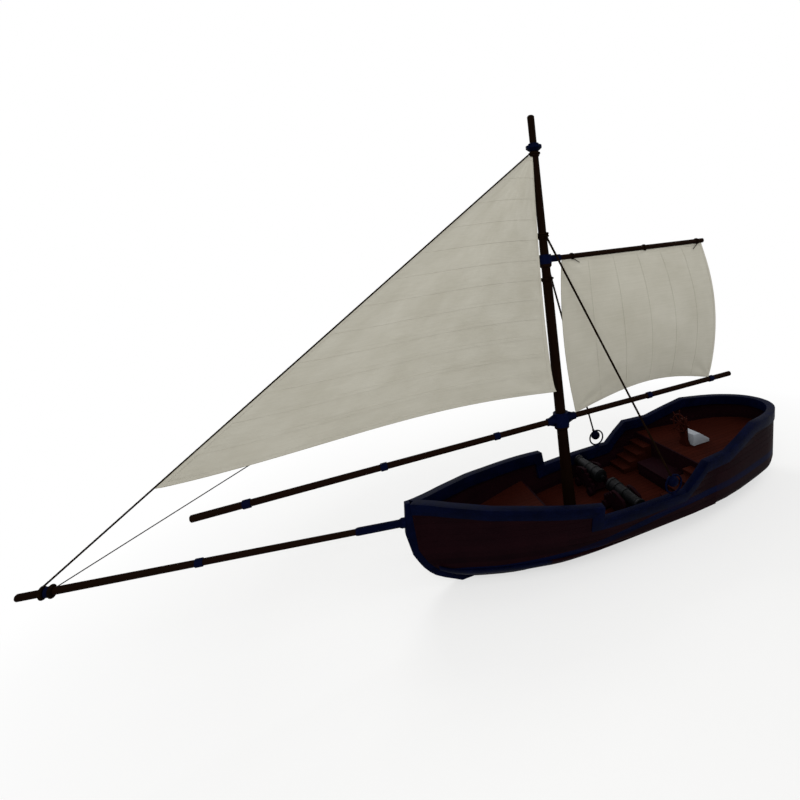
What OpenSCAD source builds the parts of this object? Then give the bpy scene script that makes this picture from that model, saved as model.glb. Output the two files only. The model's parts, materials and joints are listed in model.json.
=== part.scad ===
// A gaff-rigged sloop with a raised foredeck, a low waist and a raised quarterdeck.
// Millimetres. X runs forward from the mast, Y to port, Z up from the waterline.

/* [Hull] */
// Length of the planking from the stem to the round of the stern
hull_length = 9255; // [8800:5:9800]
// Greatest width over the planking in the waist
hull_beam = 3030; // [2850:5:3200]
// Depth of the keel and stem timber outside the planking
keel_depth = 130; // [90:5:180]
// Width of the keel, stem and sternpost
keel_width = 150; // [110:2:180]
// Thickness of the bulwark planking
bulwark_t = 90; // [60:2:110]
// Height of the wale along its face
wale_h = 200; // [140:5:240]
// How far the wale stands out from the planking
wale_t = 45; // [25:1:70]

/* [Decks] */
// Top of the main deck above the waterline
main_deck_z = 607; // [600:1:640]
// Height of the foredeck above the main deck
foredeck_rise = 469; // [420:1:500]
// Height of the quarterdeck above the main deck
quarterdeck_rise = 701; // [660:1:730]
// Thickness of the deck planking
deck_t = 50; // [35:1:60]
// Thickness of the bulkhead boards
bulkhead_t = 40; // [25:1:60]
// Back edge of the foredeck, forward of the mast
foredeck_x = 690; // [600:5:800]
// Front edge of the quarterdeck, abaft the mast
quarterdeck_x = 2880; // [2840:5:2950]

/* [Gunwale] */
// Width of the gunwale on top
gunwale_w = 184; // [150:2:200]
// Height of the gunwale band
gunwale_h = 230; // [180:5:260]
// How far the gunwale stands out from the planking
gunwale_proud = 22; // [10:1:40]
// Gunwale top in the waist, above the main deck
waist_rail = 586; // [540:2:640]
// Gunwale top at the foredeck's end, above the foredeck
step_rail = 437; // [400:1:480]
// Gunwale top at the stem, above the foredeck
bow_rail = 921; // [860:1:980]
// Gunwale top at the front of the quarterdeck, above the quarterdeck
quarter_rail = 371; // [340:1:420]
// Gunwale top at the highest point of the quarter, above the quarterdeck
high_rail = 692; // [640:2:740]
// Gunwale top at the stern, above the quarterdeck
stern_rail = 610; // [560:2:660]

/* [Mast and spars] */
// Mast top above the waterline
mast_top = 8744; // [8480:4:9080]
// Mast diameter at the deck
mast_d = 286; // [240:2:300]
// Mast diameter at the boom collar
mast_boom_d = 224; // [200:2:230]
// Mast diameter at the gaff collar
mast_gaff_d = 176; // [160:2:190]
// Mast diameter at the head
mast_head_d = 140; // [120:2:150]
// Boom axis above the waterline
boom_z = 2830; // [2740:2:2940]
// Boom diameter
boom_d = 122; // [100:2:136]
// Reach of the boom ahead of the mast
boom_fore = 6670; // [6200:10:6900]
// Reach of the boom abaft the mast
boom_aft = 4830; // [4600:10:5200]
// Gaff axis above the waterline
gaff_z = 6168; // [6080:2:6280]
// Gaff diameter
gaff_d = 100; // [80:2:120]
// Reach of the gaff abaft the mast
gaff_aft = 4040; // [3900:10:4300]
// Length of the bowsprit from the stem
bowsprit_length = 5430; // [5000:10:5800]
// Bowsprit diameter
bowsprit_d = 116; // [100:2:130]
// Rise of the bowsprit
bowsprit_steeve = 7.9; // [6:0.1:10]
// Bowsprit axis at the stem above the waterline
bowsprit_z = 1612; // [1580:2:1680]
// Length of the bowsprit sleeve
sleeve_length = 880; // [700:10:1000]

/* [Standing rigging] */
// Diameter of the forestay
forestay_d = 30; // [24:1:40]
// Diameter of the inner stay
inner_stay_d = 18; // [14:1:24]
// Diameter of the shrouds
shroud_d = 44; // [34:1:48]
// Foot of the shrouds abaft the mast
shroud_x = 1679; // [1600:5:1760]
// Height of the shroud eyes on the mast
shroud_z = 6605; // [6540:5:6680]
// Height of the forestay eye on the mast
forestay_z = 8095; // [7980:5:8120]
// Height of the inner stay eye on the mast
inner_stay_z = 5793; // [5730:1:5840]
// Diameter of the hearts at the foot of the shrouds
heart_d = 220; // [180:2:250]
// Diameter of the rings that hold the hearts, to the middle of the bar
heart_ring_d = 390; // [350:5:430]

/* [Sails] */
// Thickness of the sailcloth with its seams
sail_t = 12; // [8:1:16]
// Belly of the mainsail
main_belly = 230; // [150:5:260]
// Belly of the jib
jib_belly = 420; // [300:10:500]

/* [Guns] */
// Trunnion axis abaft the mast
gun_x = 990; // [960:5:1040]
// Bore axis above the main deck
gun_axis_h = 467; // [450:1:480]
// Length of the barrel from the trunnions to the muzzle
muzzle_reach = 600; // [560:5:620]
// Diameter of the bore
bore_d = 92; // [70:2:110]
// Greatest diameter of the barrel
breech_d = 320; // [300:2:340]
// Thickness of the carriage cheeks
cheek_t = 66; // [50:2:80]
// Diameter of the trucks
truck_d = 200; // [160:2:210]

/* [Steering] */
// Diameter of the wheel's rim, to the middle of the rim
wheel_d = 430; // [380:5:480]
// Wheel axis above the quarterdeck
wheel_h = 600; // [560:5:640]
// Wheel plane abaft the mast
wheel_x = 3190; // [3150:5:3230]
// Length of the rudder blade from its axis
rudder_length = 480; // [400:5:540]

/* [Hatch] */
// Length of the hatch fore and aft
hatch_length = 560; // [500:5:600]
// Width of the hatch
hatch_width = 1000; // [900:10:1060]
// Height of the coaming above the deck
hatch_h = 290; // [250:5:320]

/* [Hidden] */

$fn = 48;
seat = 0.3;
running = 0.05;
clear = 5;
step = 0.5;

navy = "#1b2a5e";
maroon = "#4a1d2c";
deck_brown = "#6b2b22";
spar_brown = "#3a1f14";
rope_brown = "#2e1c10";
sailcloth = "#b1aea3";
iron = "#17181a";
grey = "#8d9299";

// Lines of the hull: x, half-width at side_ref_z, flare, shoulder height,
// half-width and height of the wale, height of the bottom edge.
X = 0;
HALF = 1;
FLARE = 2;
SHOULDER = 3;
WALE_Y = 4;
WALE_Z = 5;
LOW = 6;
side_ref_z = 1180;
lines = [
    [3360, 76, 0.00, 1008, 74, 992, 980],
    [3290, 84, 0.03, 880, 76, 840, 810],
    [3213, 110, 0.05, 760, 84, 690, 647],
    [3045, 170, 0.09, 610, 108, 495, 424],
    [2729, 344, 0.14, 530, 235, 360, 212],
    [2389, 530, 0.17, 505, 385, 320, 5],
    [2036, 730, 0.19, 505, 545, 320, -170],
    [1635, 886, 0.21, 505, 720, 330, -337],
    [1200, 1060, 0.23, 505, 870, 340, -435],
    [795, 1210, 0.24, 505, 1000, 355, -502],
    [300, 1350, 0.25, 505, 1085, 375, -535],
    [-140, 1435, 0.25, 505, 1135, 395, -542],
    [-1000, 1500, 0.24, 505, 1160, 425, -542],
    [-1955, 1515, 0.20, 505, 1175, 440, -542],
    [-2540, 1450, 0.11, 505, 1140, 430, -542],
    [-3234, 1390, 0.07, 510, 1045, 385, -542],
    [-4285, 1172, 0.04, 530, 750, 260, -542],
    [-4900, 1020, 0.03, 550, 490, 160, -542],
    [-4990, 990, 0.02, 552, 445, 158, -535],
    [-5060, 965, 0.02, 555, 405, 162, -369],
    [-5220, 895, 0.02, 565, 350, 200, 10],
    [-5450, 755, 0.01, 585, 310, 305, 170],
    [-5650, 585, 0.01, 610, 300, 410, 300],
    [-5780, 420, 0.00, 635, 230, 510, 410],
    [-5860, 240, 0.00, 660, 140, 600, 495],
    [-5895, 50, 0.00, 680, 34, 650, 545]
];
// Rows of the lines where the timbers begin and end
WALE_ROW = 3;
KEEL_ROW = 8;
POST_ROW = 18;
POST_TOP_ROW = 20;
POST_HEAD_ROW = 21;
last = len(lines) - 1;
lines_length = lines[0][X] - lines[last][X];
lines_half = max([for (row = lines) row[HALF]]);
long = hull_length / lines_length;
wide = hull_beam / 2 / lines_half;

// Fair curve through one column of the lines, which keeps the rise and fall of the column
function row_of(x, i = 0) = i >= last - 1 || x >= lines[i + 1][X] ? i : row_of(x, i + 1);
function rise(i, c) = (lines[i + 1][c] - lines[i][c]) / (lines[i + 1][X] - lines[i][X]);
function bend(a, b) = a * b <= 0 ? 0 : 2 * a * b / (a + b);
function lean(i, c) = i == 0 ? rise(0, c) : i == last ? rise(last - 1, c) : bend(rise(i - 1, c), rise(i, c));
function fair(x, c) =
    let (u = x / long, i = row_of(u), h = lines[i + 1][X] - lines[i][X], t = (u - lines[i][X]) / h)
    lines[i][c] * (2 * t ^ 3 - 3 * t ^ 2 + 1) + lean(i, c) * h * (t ^ 3 - 2 * t ^ 2 + t)
    + lines[i + 1][c] * (3 * t ^ 2 - 2 * t ^ 3) + lean(i + 1, c) * h * (t ^ 3 - t ^ 2);

function side(x, z) = wide * (fair(x, HALF) + fair(x, FLARE) * (z - side_ref_z));
function plan_slope(x, z) = side(x + 1, z) / 2 - side(x - 1, z) / 2;
// Point of the side at x and z, moved inboard by d square to the plan
function inset(x, z, d) =
    let (s = plan_slope(x, z), n = sqrt(1 + s * s))
    [x + d * s / n, max(side(x, z) - d / n, 0), z];
// Half-width at x and z of the face that lies d inboard of the side
function inner_y(x, z, d) =
    let (a = 2 * x - inset(x, z, d)[0], b = a + x - inset(a, z, d)[0])
    inset(b, z, d)[1];
function low(x) = fair(x, LOW);

bow_x = lines[0][X] * long;
stern_x = lines[last][X] * long;
post_x = lines[POST_ROW][X] * long;
post_head_x = lines[POST_HEAD_ROW][X] * long;
fore_edge = foredeck_x;
quarter_edge = -quarterdeck_x;
foredeck_z = main_deck_z + foredeck_rise;
quarterdeck_z = main_deck_z + quarterdeck_rise;
main_bed = main_deck_z - deck_t;
fore_bed = foredeck_z - deck_t;
quarter_bed = quarterdeck_z - deck_t;

// Stations: the lines, a station between each two, and the breaks of deck and gunwale
step_trim = 230;
ramp_foot = -1955;
ramp_head = -2540;
quarter_foot = -3234;
quarter_head = -4285;
breaks = [fore_edge, step_trim, 0, ramp_foot, ramp_head, quarter_edge, quarter_foot, quarter_head];
drawn = [for (i = [0:last]) lines[i][X] * long];
halves = [for (i = [0:last - 1]) (drawn[i] + drawn[i + 1]) / 2];
min_gap = 12;
function near(x, list) = len([for (v = list) if (abs(v - x) < min_gap) 1]) > 0;
loose = [for (v = concat(drawn, halves)) if (!near(v, breaks)) v];
function falling(v) =
    len(v) < 2 ? v :
    let (p = v[floor(len(v) / 2)])
    concat(falling([for (a = v) if (a > p) a]), [p], falling([for (a = v) if (a < p) a]));
stations = falling(concat(loose, breaks));

// Heights along the hull; at a break "after" picks the side abaft it
function bed_z(x, after) =
    x > fore_edge || (x == fore_edge && !after) ? fore_bed :
    x > quarter_edge || (x == quarter_edge && !after) ? main_bed : quarter_bed;
fore_rail_line = [[0, foredeck_z + step_rail], [bow_x, foredeck_z + bow_rail]];
aft_rail_line = [
    [stern_x, quarterdeck_z + stern_rail], [quarter_head, quarterdeck_z + high_rail],
    [quarter_foot, quarterdeck_z + quarter_rail], [ramp_head, quarterdeck_z + quarter_rail],
    [ramp_foot, main_deck_z + waist_rail], [0, main_deck_z + waist_rail]
];
function rail_z(x, after) = x > 0 || (x == 0 && !after) ? lookup(x, fore_rail_line) : lookup(x, aft_rail_line);
function band_z(x, after) =
    x > step_trim || (x == step_trim && !after) ? rail_z(x, false) - gunwale_h
    : (x > 0 ? main_deck_z + waist_rail : rail_z(x, true)) - gunwale_h;

// Skin of a closed loft through rings of points, whose two ends are ladders between the ring's halves;
// a loft whose rings run the other way round is turned
module loft(rings, turned = false) {
    n = len(rings[0]);
    m = len(rings);
    points = [for (r = rings) for (p = r) p];
    sides = [for (i = [0:m - 2]) for (j = [0:n - 1])
        let (a = i * n + j, b = i * n + (j + 1) % n)
        each [[a, a + n, b], [b, a + n, b + n]]];
    first = [for (j = [0:n / 2 - 2]) each [[j, j + 1, n - 2 - j], [j, n - 2 - j, n - 1 - j]]];
    final = [for (f = first) [for (k = [2:-1:0]) f[k] + (m - 1) * n]];
    faces = concat(sides, first, final);
    polyhedron(points, turned ? [for (f = faces) [f[2], f[1], f[0]]] : faces, convexity = 12);
}

module starboard() { mirror([0, 1, 0]) children(); }

// Draws a side view, given in x and z, w wide about the centre plane
module side_view(w) { rotate([90, 0, 0]) linear_extrude(w, center = true) children(); }

// Points of the half section, from the bottom edge to the given height
shoulder_round = 120;
function toward(a, b, d) = a + (b - a) / norm(b - a) * min(d, 0.4 * norm(b - a));
function half_section(x, top_z) =
    let (wale = [wide * fair(x, WALE_Y), fair(x, WALE_Z)],
         low_p = [min(keel_width / 2, 0.9 * wale[0]), low(x)],
         mid_z = min(fair(x, SHOULDER), top_z - 20),
         shoulder = [side(x, mid_z), mid_z],
         top_p = [side(x, top_z), top_z],
         wale_a = toward(wale, low_p, wale_h / 2), wale_b = toward(wale, shoulder, wale_h / 2),
         turn_a = toward(shoulder, wale, shoulder_round), turn_b = toward(shoulder, top_p, shoulder_round))
    [low_p, wale_a, (wale_a + 2 * wale + wale_b) / 4, wale_b,
     turn_a, (turn_a + 2 * shoulder + turn_b) / 4, turn_b, top_p];

function hull_ring(x, top_z) =
    let (h = half_section(x, top_z), n = len(h))
    concat([for (p = h) [x, p[0], p[1]]], [for (k = [n - 1:-1:0]) [x, -h[k][0], h[k][1]]]);

// Rings at a station: two, a hair apart, where the height jumps
function rings_at(x, jumps, ring) =
    jumps ? [ring(x, false), [for (p = ring(x, true)) p - [step, 0, 0]]] : [ring(x, true)];

module hull() {
    color(maroon)
    loft([for (x = stations) each rings_at(x, x == fore_edge || x == quarter_edge,
        function(v, after) hull_ring(v, bed_z(v, after)))]);
}

// A strip along the port side: ring(x, after) gives its section, doubled at each break of bed or gunwale
strip_breaks = [fore_edge, step_trim, 0, quarter_edge];
module side_strip(ring, turned = false) {
    body = [for (x = stations) each rings_at(x, len([for (j = strip_breaks) if (j == x) 1]) > 0, ring)];
    tail = [for (p = body[len(body) - 1]) [p[0] - 1, 0, p[2]]];
    loft(concat(body, [tail]), turned);
}

module bulwark_half() {
    color(maroon)
    side_strip(function(x, after)
        let (a = bed_z(x, after), b = band_z(x, after))
        [inset(x, a, 0), inset(x, b, 0), inset(x, b, bulwark_t), inset(x, a, bulwark_t)]);
}

// The gunwale sits on the bulwark's top and overhangs it on both sides
module gunwale_half() {
    gunwale_in = gunwale_w - gunwale_proud;
    color(navy)
    side_strip(function(x, after)
        let (a = band_z(x, after), b = rail_z(x, after))
        [inset(x, a, 0), inset(x, a, bulwark_t), inset(x, a, gunwale_in), inset(x, b, gunwale_in),
         inset(x, b, -gunwale_proud), inset(x, a, -gunwale_proud)], turned = true);
}

module bulwark_port() { bulwark_half(); }
module bulwark_starboard() { starboard() bulwark_half(); }
module gunwale_port() { gunwale_half(); }
module gunwale_starboard() { starboard() gunwale_half(); }

// The wale lies on the planking: its inner face is the planking's own
wale_fore = lines[WALE_ROW][X] * long;
wale_aft = post_head_x;
function outward(a, b) = let (d = (b - a) / norm(b - a)) [d[1], -d[0]];
function wale_ring(x, after) =
    let (h = half_section(x, bed_z(x, after)),
         out = [for (k = [1:3]) h[k] + outward(h[k - 1], h[k + 1]) * wale_t])
    [for (p = [h[1], h[2], h[3], out[2], out[1], out[0]]) [x, p[0], p[1]]];
function backward(v) = [for (k = [len(v) - 1:-1:0]) v[k]];

module wale_half(turned) {
    color(navy)
    loft([for (x = stations) if (x <= wale_fore && x >= wale_aft)
        each rings_at(x, x == fore_edge || x == quarter_edge,
            function(v, after) turned ? wale_ring(v, after) : backward(wale_ring(v, after)))], turned);
}

module wale_port() { wale_half(true); }
module wale_starboard() { starboard() wale_half(false); }

// Backbone: each timber fits the bottom edge of the planking
keel_fore = lines[KEEL_ROW][X] * long;
function under(x) =
    let (t = [2, low(x + 1) - low(x - 1)], n = [t[1], -t[0]] / norm(t))
    [x, low(x)] + n * keel_depth;
steeve_up = [-sin(bowsprit_steeve), cos(bowsprit_steeve)];
bowsprit_root = [bow_x + keel_depth + 20, bowsprit_z];
function on_stem_face(z) = bowsprit_root + steeve_up * (z - bowsprit_root[1]) / steeve_up[1];
stem_seat_foot = 230;
stem_head = foredeck_z + bow_rail + 14;

module stem() {
    xs = [for (x = stations) if (x >= keel_fore) x];
    inner = [for (x = xs) [x, low(x)]];
    outer = [for (k = [len(xs) - 1:-1:0]) under(xs[k])];
    color(navy)
    side_view(keel_width)
    polygon(concat([[bow_x, stem_head]], inner, outer,
        [on_stem_face(bowsprit_z - stem_seat_foot), on_stem_face(stem_head)]));
}

post_foot = [post_x, low(post_x)];
post_top = [lines[POST_TOP_ROW][X] * long, lines[POST_TOP_ROW][LOW]];
post_dir = (post_top - post_foot) / norm(post_top - post_foot);
post_aft = [-post_dir[1], post_dir[0]];
post_rake = atan2(-post_dir[0], post_dir[1]);
post_t = 150;
face_foot = post_foot + post_aft * post_t;

module keel() {
    xs = [for (x = stations) if (x <= keel_fore && x >= post_x) x];
    inner = [for (x = xs) [x, low(x)]];
    outer = [for (k = [len(xs) - 1:-1:0]) under(xs[k])];
    heel = [face_foot[0] - 20, under(xs[len(xs) - 3])[1]];
    color(navy)
    side_view(keel_width)
    polygon(concat(inner, [face_foot, heel], [for (k = [2:len(outer) - 1]) outer[k]]));
}

// Rudder irons: eyes on the sternpost that carry the rudder's pins
hinge_off = 60;
pin_r = 18;
iron_r = 40;
iron_h = 60;
iron_zs = [110, 560];
post_len = norm([post_head_x, low(post_head_x)] - face_foot);

module post_frame() {
    translate([face_foot[0], 0, face_foot[1]]) rotate([0, -post_rake, 0]) children();
}

module sternpost() {
    xs = [for (x = stations) if (x <= post_x && x >= post_head_x) x];
    color(navy) {
        side_view(keel_width) polygon(concat([for (x = xs) [x, low(x)]], [face_foot]));
        post_frame()
        for (z = iron_zs)
            translate([-hinge_off, 0, z])
            difference() {
                union() {
                    cylinder(r = iron_r, h = iron_h);
                    translate([0, -iron_r, 0]) cube([hinge_off + 30, 2 * iron_r, iron_h]);
                }
                translate([0, 0, -1]) cylinder(r = pin_r + running, h = iron_h + 2);
            }
    }
}

// Decks
deck_gap = 2;
function deck_side(z, from_x, to_x) =
    [for (x = stations) if (x <= from_x && x >= to_x)
        let (p = inset(x, z, bulwark_t + deck_gap)) if (p[1] > 0 && p[0] <= from_x && p[0] >= to_x) [p[0], p[1]]];

module deck(z, from_x, to_x) {
    half = deck_side(z - deck_t, from_x, to_x);
    other = [for (k = [len(half) - 1:-1:0]) [half[k][0], -half[k][1]]];
    first = [from_x, inner_y(from_x, z - deck_t, bulwark_t + deck_gap)];
    final = [to_x, inner_y(to_x, z - deck_t, bulwark_t + deck_gap)];
    ends_fore = from_x < bow_x ? [first] : [];
    ends_aft = to_x > stern_x ? [final] : [];
    outline = concat(ends_fore, half, ends_aft);
    translate([0, 0, z - deck_t])
    linear_extrude(deck_t)
    polygon(concat(outline, [for (k = [len(outline) - 1:-1:0]) [outline[k][0], -outline[k][1]]]));
}

module foredeck() { color(deck_brown) deck(foredeck_z, bow_x, fore_edge); }

module main_deck() { color(deck_brown) deck(main_deck_z, fore_edge - deck_gap, quarter_edge + deck_gap); }

module quarterdeck() { color(deck_brown) deck(quarterdeck_z, quarter_edge, stern_x); }

// Boards across the break of a deck, from x towards the waist
module bulkhead(x, dir, top_z) {
    face = x + dir * (deck_gap + bulkhead_t);
    inner = bulwark_t + deck_gap;
    y_low = min(inner_y(x, main_deck_z, inner), inner_y(face, main_deck_z, inner));
    y_top = min(inner_y(x, top_z, inner), inner_y(face, top_z, inner));
    translate([(x + dir * deck_gap + face) / 2, 0, 0])
    rotate([90, 0, 90])
    linear_extrude(bulkhead_t, center = true)
    polygon([[-y_low, main_deck_z], [y_low, main_deck_z], [y_top, top_z], [-y_top, top_z]]);
}

module fore_bulkhead() { color(maroon) bulkhead(fore_edge, -1, foredeck_z); }

module aft_bulkhead() { color(maroon) bulkhead(quarter_edge, 1, quarterdeck_z); }

// Closed stairs beside the bulwark, from the main deck to the quarterdeck
stair_steps = 4;
stair_fore = 1955;
stair_in = 690;
stair_tread_t = 36;
stair_nose = 24;
stair_aft = quarterdeck_x - deck_gap - bulkhead_t - seat;
stair_rise = quarterdeck_rise / (stair_steps + 1);
stair_run = (stair_aft - stair_fore) / stair_steps;
stair_out = min(inner_y(-stair_aft, main_deck_z, bulwark_t + 2 * deck_gap),
    inner_y(-stair_fore, main_deck_z, bulwark_t + 2 * deck_gap));

module stairs_half() {
    color(deck_brown)
    translate([0, (stair_in + stair_out) / 2, 0])
    side_view(stair_out - stair_in)
    union() {
        for (k = [0:stair_steps - 1]) {
            front = -stair_fore - k * stair_run;
            top = main_deck_z + (k + 1) * stair_rise;
            translate([-stair_aft, main_deck_z]) square([front + stair_aft, top - main_deck_z]);
            translate([front - stair_run, top - stair_tread_t]) square([stair_run + stair_nose, stair_tread_t]);
        }
    }
}

module stairs_port() { stairs_half(); }
module stairs_starboard() { starboard() stairs_half(); }

// Hatch in front of the quarterdeck
coaming_t = 44;
hatch_aft = quarterdeck_x - deck_gap - bulkhead_t - 16;
hatch_fore = hatch_aft - hatch_length;
hatch_top = main_deck_z + hatch_h;
lid_t = 36;
lid_lip = 20;
lid_pin_r = 9;
lid_eye_r = 20;
lid_eye_w = 60;
lid_lug_w = 24;
lid_axis = [-hatch_aft + lid_eye_r + 4, hatch_top + seat + lid_eye_r];
lid_hinges = [-0.3, 0.3];

module hatch_coaming() {
    color(maroon) {
        translate([-hatch_aft, -hatch_width / 2, main_deck_z])
        difference() {
            cube([hatch_length, hatch_width, hatch_h]);
            translate([coaming_t, coaming_t, -1])
                cube([hatch_length - 2 * coaming_t, hatch_width - 2 * coaming_t, hatch_h + 2]);
        }
        for (s = lid_hinges)
            translate([lid_axis[0], s * hatch_width, lid_axis[1]])
            rotate([90, 0, 0]) {
                cylinder(r = lid_pin_r, h = lid_eye_w + 2 * lid_lug_w, center = true);
                for (e = [-1, 1])
                    translate([0, 0, e * (lid_eye_w / 2 + clear / 2 + lid_lug_w / 2)]) {
                        cylinder(r = lid_eye_r - 2, h = lid_lug_w, center = true);
                        translate([0, -lid_eye_r / 2 - 4, 0])
                            cube([2 * lid_eye_r - 4, lid_eye_r + 8, lid_lug_w], center = true);
                    }
            }
    }
}

module hatch_lid() {
    lid_back = lid_axis[0] + lid_eye_r + 2 * clear;
    color(maroon)
    difference() {
        union() {
            translate([lid_back, -hatch_width / 2 - lid_lip, hatch_top + seat])
                cube([-hatch_fore + lid_lip - lid_back, hatch_width + 2 * lid_lip, lid_t]);
            for (s = lid_hinges)
                translate([lid_axis[0], s * hatch_width, lid_axis[1]]) {
                    rotate([90, 0, 0]) cylinder(r = lid_eye_r, h = lid_eye_w, center = true);
                    translate([0, -lid_eye_w / 2, 0]) cube([lid_back - lid_axis[0] + 60, lid_eye_w, lid_eye_r]);
                }
        }
        for (s = lid_hinges)
            translate([lid_axis[0], s * hatch_width, lid_axis[1]])
            rotate([90, 0, 0]) cylinder(r = lid_pin_r + running, h = lid_eye_w + 2, center = true);
    }
}

// Mast: a turned spar with shoulders where collars and eyes rest
shoulder_h = 40;
collar_h = 300;
gaff_collar_h = 180;
boom_seat = boom_z - collar_h / 2 - seat;
gaff_seat = gaff_z - gaff_collar_h / 2 - seat;
eye_d = 44;
head_collar_z = forestay_z + 90;
head_collar_h = 80;
pole_foot = head_collar_z + head_collar_h + 5;
shroud_mast_r = 81;
inner_mast_r = 92;
mast_foot_h = 1173;
function eye_seat(z) = z - eye_d / 2 - seat;

module mast() {
    head_r = mast_head_d / 2;
    pole_r = head_r - 3;
    gaff_r = mast_gaff_d / 2;
    boom_r = mast_boom_d / 2;
    color(spar_brown)
    rotate_extrude()
    polygon([
        [0, main_deck_z], [mast_d / 2, main_deck_z], [mast_d / 2 - 20, main_deck_z + mast_foot_h],
        [boom_r + 4, boom_seat - 2 * shoulder_h], [boom_r + 46, boom_seat - shoulder_h], [boom_r + 46, boom_seat],
        [boom_r, boom_seat], [boom_r, boom_z + collar_h / 2 + 20],
        [inner_mast_r + 4, eye_seat(inner_stay_z) - shoulder_h], [inner_mast_r + 22, eye_seat(inner_stay_z) - 20],
        [inner_mast_r + 22, eye_seat(inner_stay_z)], [inner_mast_r, eye_seat(inner_stay_z)],
        [gaff_r, gaff_seat - 2 * shoulder_h], [gaff_r + 34, gaff_seat - shoulder_h], [gaff_r + 34, gaff_seat],
        [gaff_r, gaff_seat], [gaff_r, gaff_z + gaff_collar_h / 2 + 20],
        [shroud_mast_r, eye_seat(shroud_z) - shoulder_h], [shroud_mast_r + 24, eye_seat(shroud_z) - 20],
        [shroud_mast_r + 24, eye_seat(shroud_z)], [shroud_mast_r, eye_seat(shroud_z)],
        [head_r + 4, eye_seat(forestay_z) - shoulder_h], [head_r + 22, eye_seat(forestay_z) - 20],
        [head_r + 22, eye_seat(forestay_z)], [head_r, eye_seat(forestay_z)],
        [head_r, pole_foot], [pole_r, pole_foot], [pole_r, mast_top - 20], [pole_r - 20, mast_top], [0, mast_top]
    ]);
}

module mast_partner() {
    inner = mast_d / 2 + seat;
    color(navy)
    translate([0, 0, main_deck_z])
    rotate_extrude()
    polygon([[inner, 0], [inner + 90, 0], [inner + 90, 40], [inner + 60, 70], [inner, 70]]);
}

// Collar near the masthead, with a funnel below
module masthead_collar() {
    inner = mast_head_d / 2 + seat;
    color(navy)
    translate([0, 0, head_collar_z]) {
        rotate_extrude()
        polygon([[inner, -50], [inner + 14, -50], [inner + 80, 0], [inner + 80, 44],
                 [inner + 30, 44], [inner + 30, head_collar_h], [inner, head_collar_h]]);
    }
}

// Bowsprit and what it carries, drawn along its own axis
tip_past_collar = 306;
mid_band_at = 3200;
stay_collar_at = bowsprit_length - tip_past_collar;
end_foot = stay_collar_at + 66;
module bowsprit_frame() {
    translate([bowsprit_root[0], 0, bowsprit_root[1]]) rotate([0, 90 - bowsprit_steeve, 0]) children();
}

module bowsprit() {
    r = bowsprit_d / 2;
    color(spar_brown)
    bowsprit_frame()
    rotate_extrude()
    polygon([[0, seat], [r, seat], [r, end_foot], [r - 3, end_foot], [r - 3, bowsprit_length - 16],
             [r - 16, bowsprit_length], [0, bowsprit_length]]);
}

module ring(inner, outer, h) {
    rotate_extrude()
    polygon([[inner, 0], [outer - 6, 0], [outer, 6], [outer, h - 6], [outer - 6, h], [inner, h]]);
}

module bowsprit_sleeve() {
    inner = bowsprit_d / 2 + seat;
    color(navy)
    bowsprit_frame() {
        rotate_extrude()
        polygon([[inner, seat], [inner + 42, seat], [inner + 42, 60], [inner + 18, 110],
                 [inner + 18, sleeve_length - 40], [inner + 8, sleeve_length], [inner, sleeve_length]]);
        translate([0, 0, mid_band_at]) ring(inner, inner + 14, 110);
    }
}

module stay_collar() {
    inner = bowsprit_d / 2 + seat;
    color(navy)
    bowsprit_frame()
    translate([0, 0, stay_collar_at - 60])
    ring(inner, inner + 20, 50);
}

// Rope from point a to point b
module rope(a, b, d) {
    v = b - a;
    translate(a)
    rotate([0, acos(v[2] / norm(v)), atan2(v[1], v[0])])
    cylinder(d = d, h = norm(v));
}

// Eye of a stay round a spar of radius r
module eye(r, d) { rotate_extrude() translate([r + seat + d / 2, 0]) circle(d = d, $fn = 24); }

bowsprit_axis = [cos(bowsprit_steeve), 0, sin(bowsprit_steeve)];
bowsprit_up = [-sin(bowsprit_steeve), 0, cos(bowsprit_steeve)];
root_3d = [bowsprit_root[0], 0, bowsprit_root[1]];
stay_foot_r = bowsprit_d / 2 + seat + eye_d / 2;
forestay_foot = root_3d + bowsprit_axis * (stay_collar_at + 20) + bowsprit_up * stay_foot_r;
forestay_head = [mast_head_d / 2 + seat + eye_d / 2, 0, forestay_z];

module forestay() {
    color(rope_brown) {
        translate([0, 0, forestay_z]) eye(mast_head_d / 2, eye_d);
        rope(forestay_foot, forestay_head, forestay_d);
        bowsprit_frame() translate([0, 0, stay_collar_at + 20]) eye(bowsprit_d / 2, eye_d);
    }
}

// The inner stay leads to starboard of the jib
inner_eye_at = stay_collar_at - 60 - eye_d / 2 - seat;
module inner_stay() {
    foot = root_3d + bowsprit_axis * inner_eye_at - [0, stay_foot_r, 0];
    head = [0, -inner_mast_r - seat - eye_d / 2, inner_stay_z];
    color(rope_brown) {
        translate([0, 0, inner_stay_z]) eye(inner_mast_r, eye_d);
        rope(foot, head, inner_stay_d);
        bowsprit_frame() translate([0, 0, inner_eye_at]) eye(bowsprit_d / 2, eye_d);
    }
}

// Shrouds end in hearts, each held in a ring that stands on the gunwale
ring_bar = 26;
shroud_knot = 66;
rail_top_waist = main_deck_z + waist_rail;
ring_centre = [-shroud_x, inset(-shroud_x, rail_top_waist, gunwale_w / 2 - gunwale_proud)[1],
    rail_top_waist + heart_ring_d / 2 + ring_bar / 2 + 30];
shroud_lead_out = 16;
function shroud_head(z) = [0, shroud_mast_r + seat + eye_d + shroud_lead_out, z];
shroud_run = shroud_head(shroud_z) - ring_centre;
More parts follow.
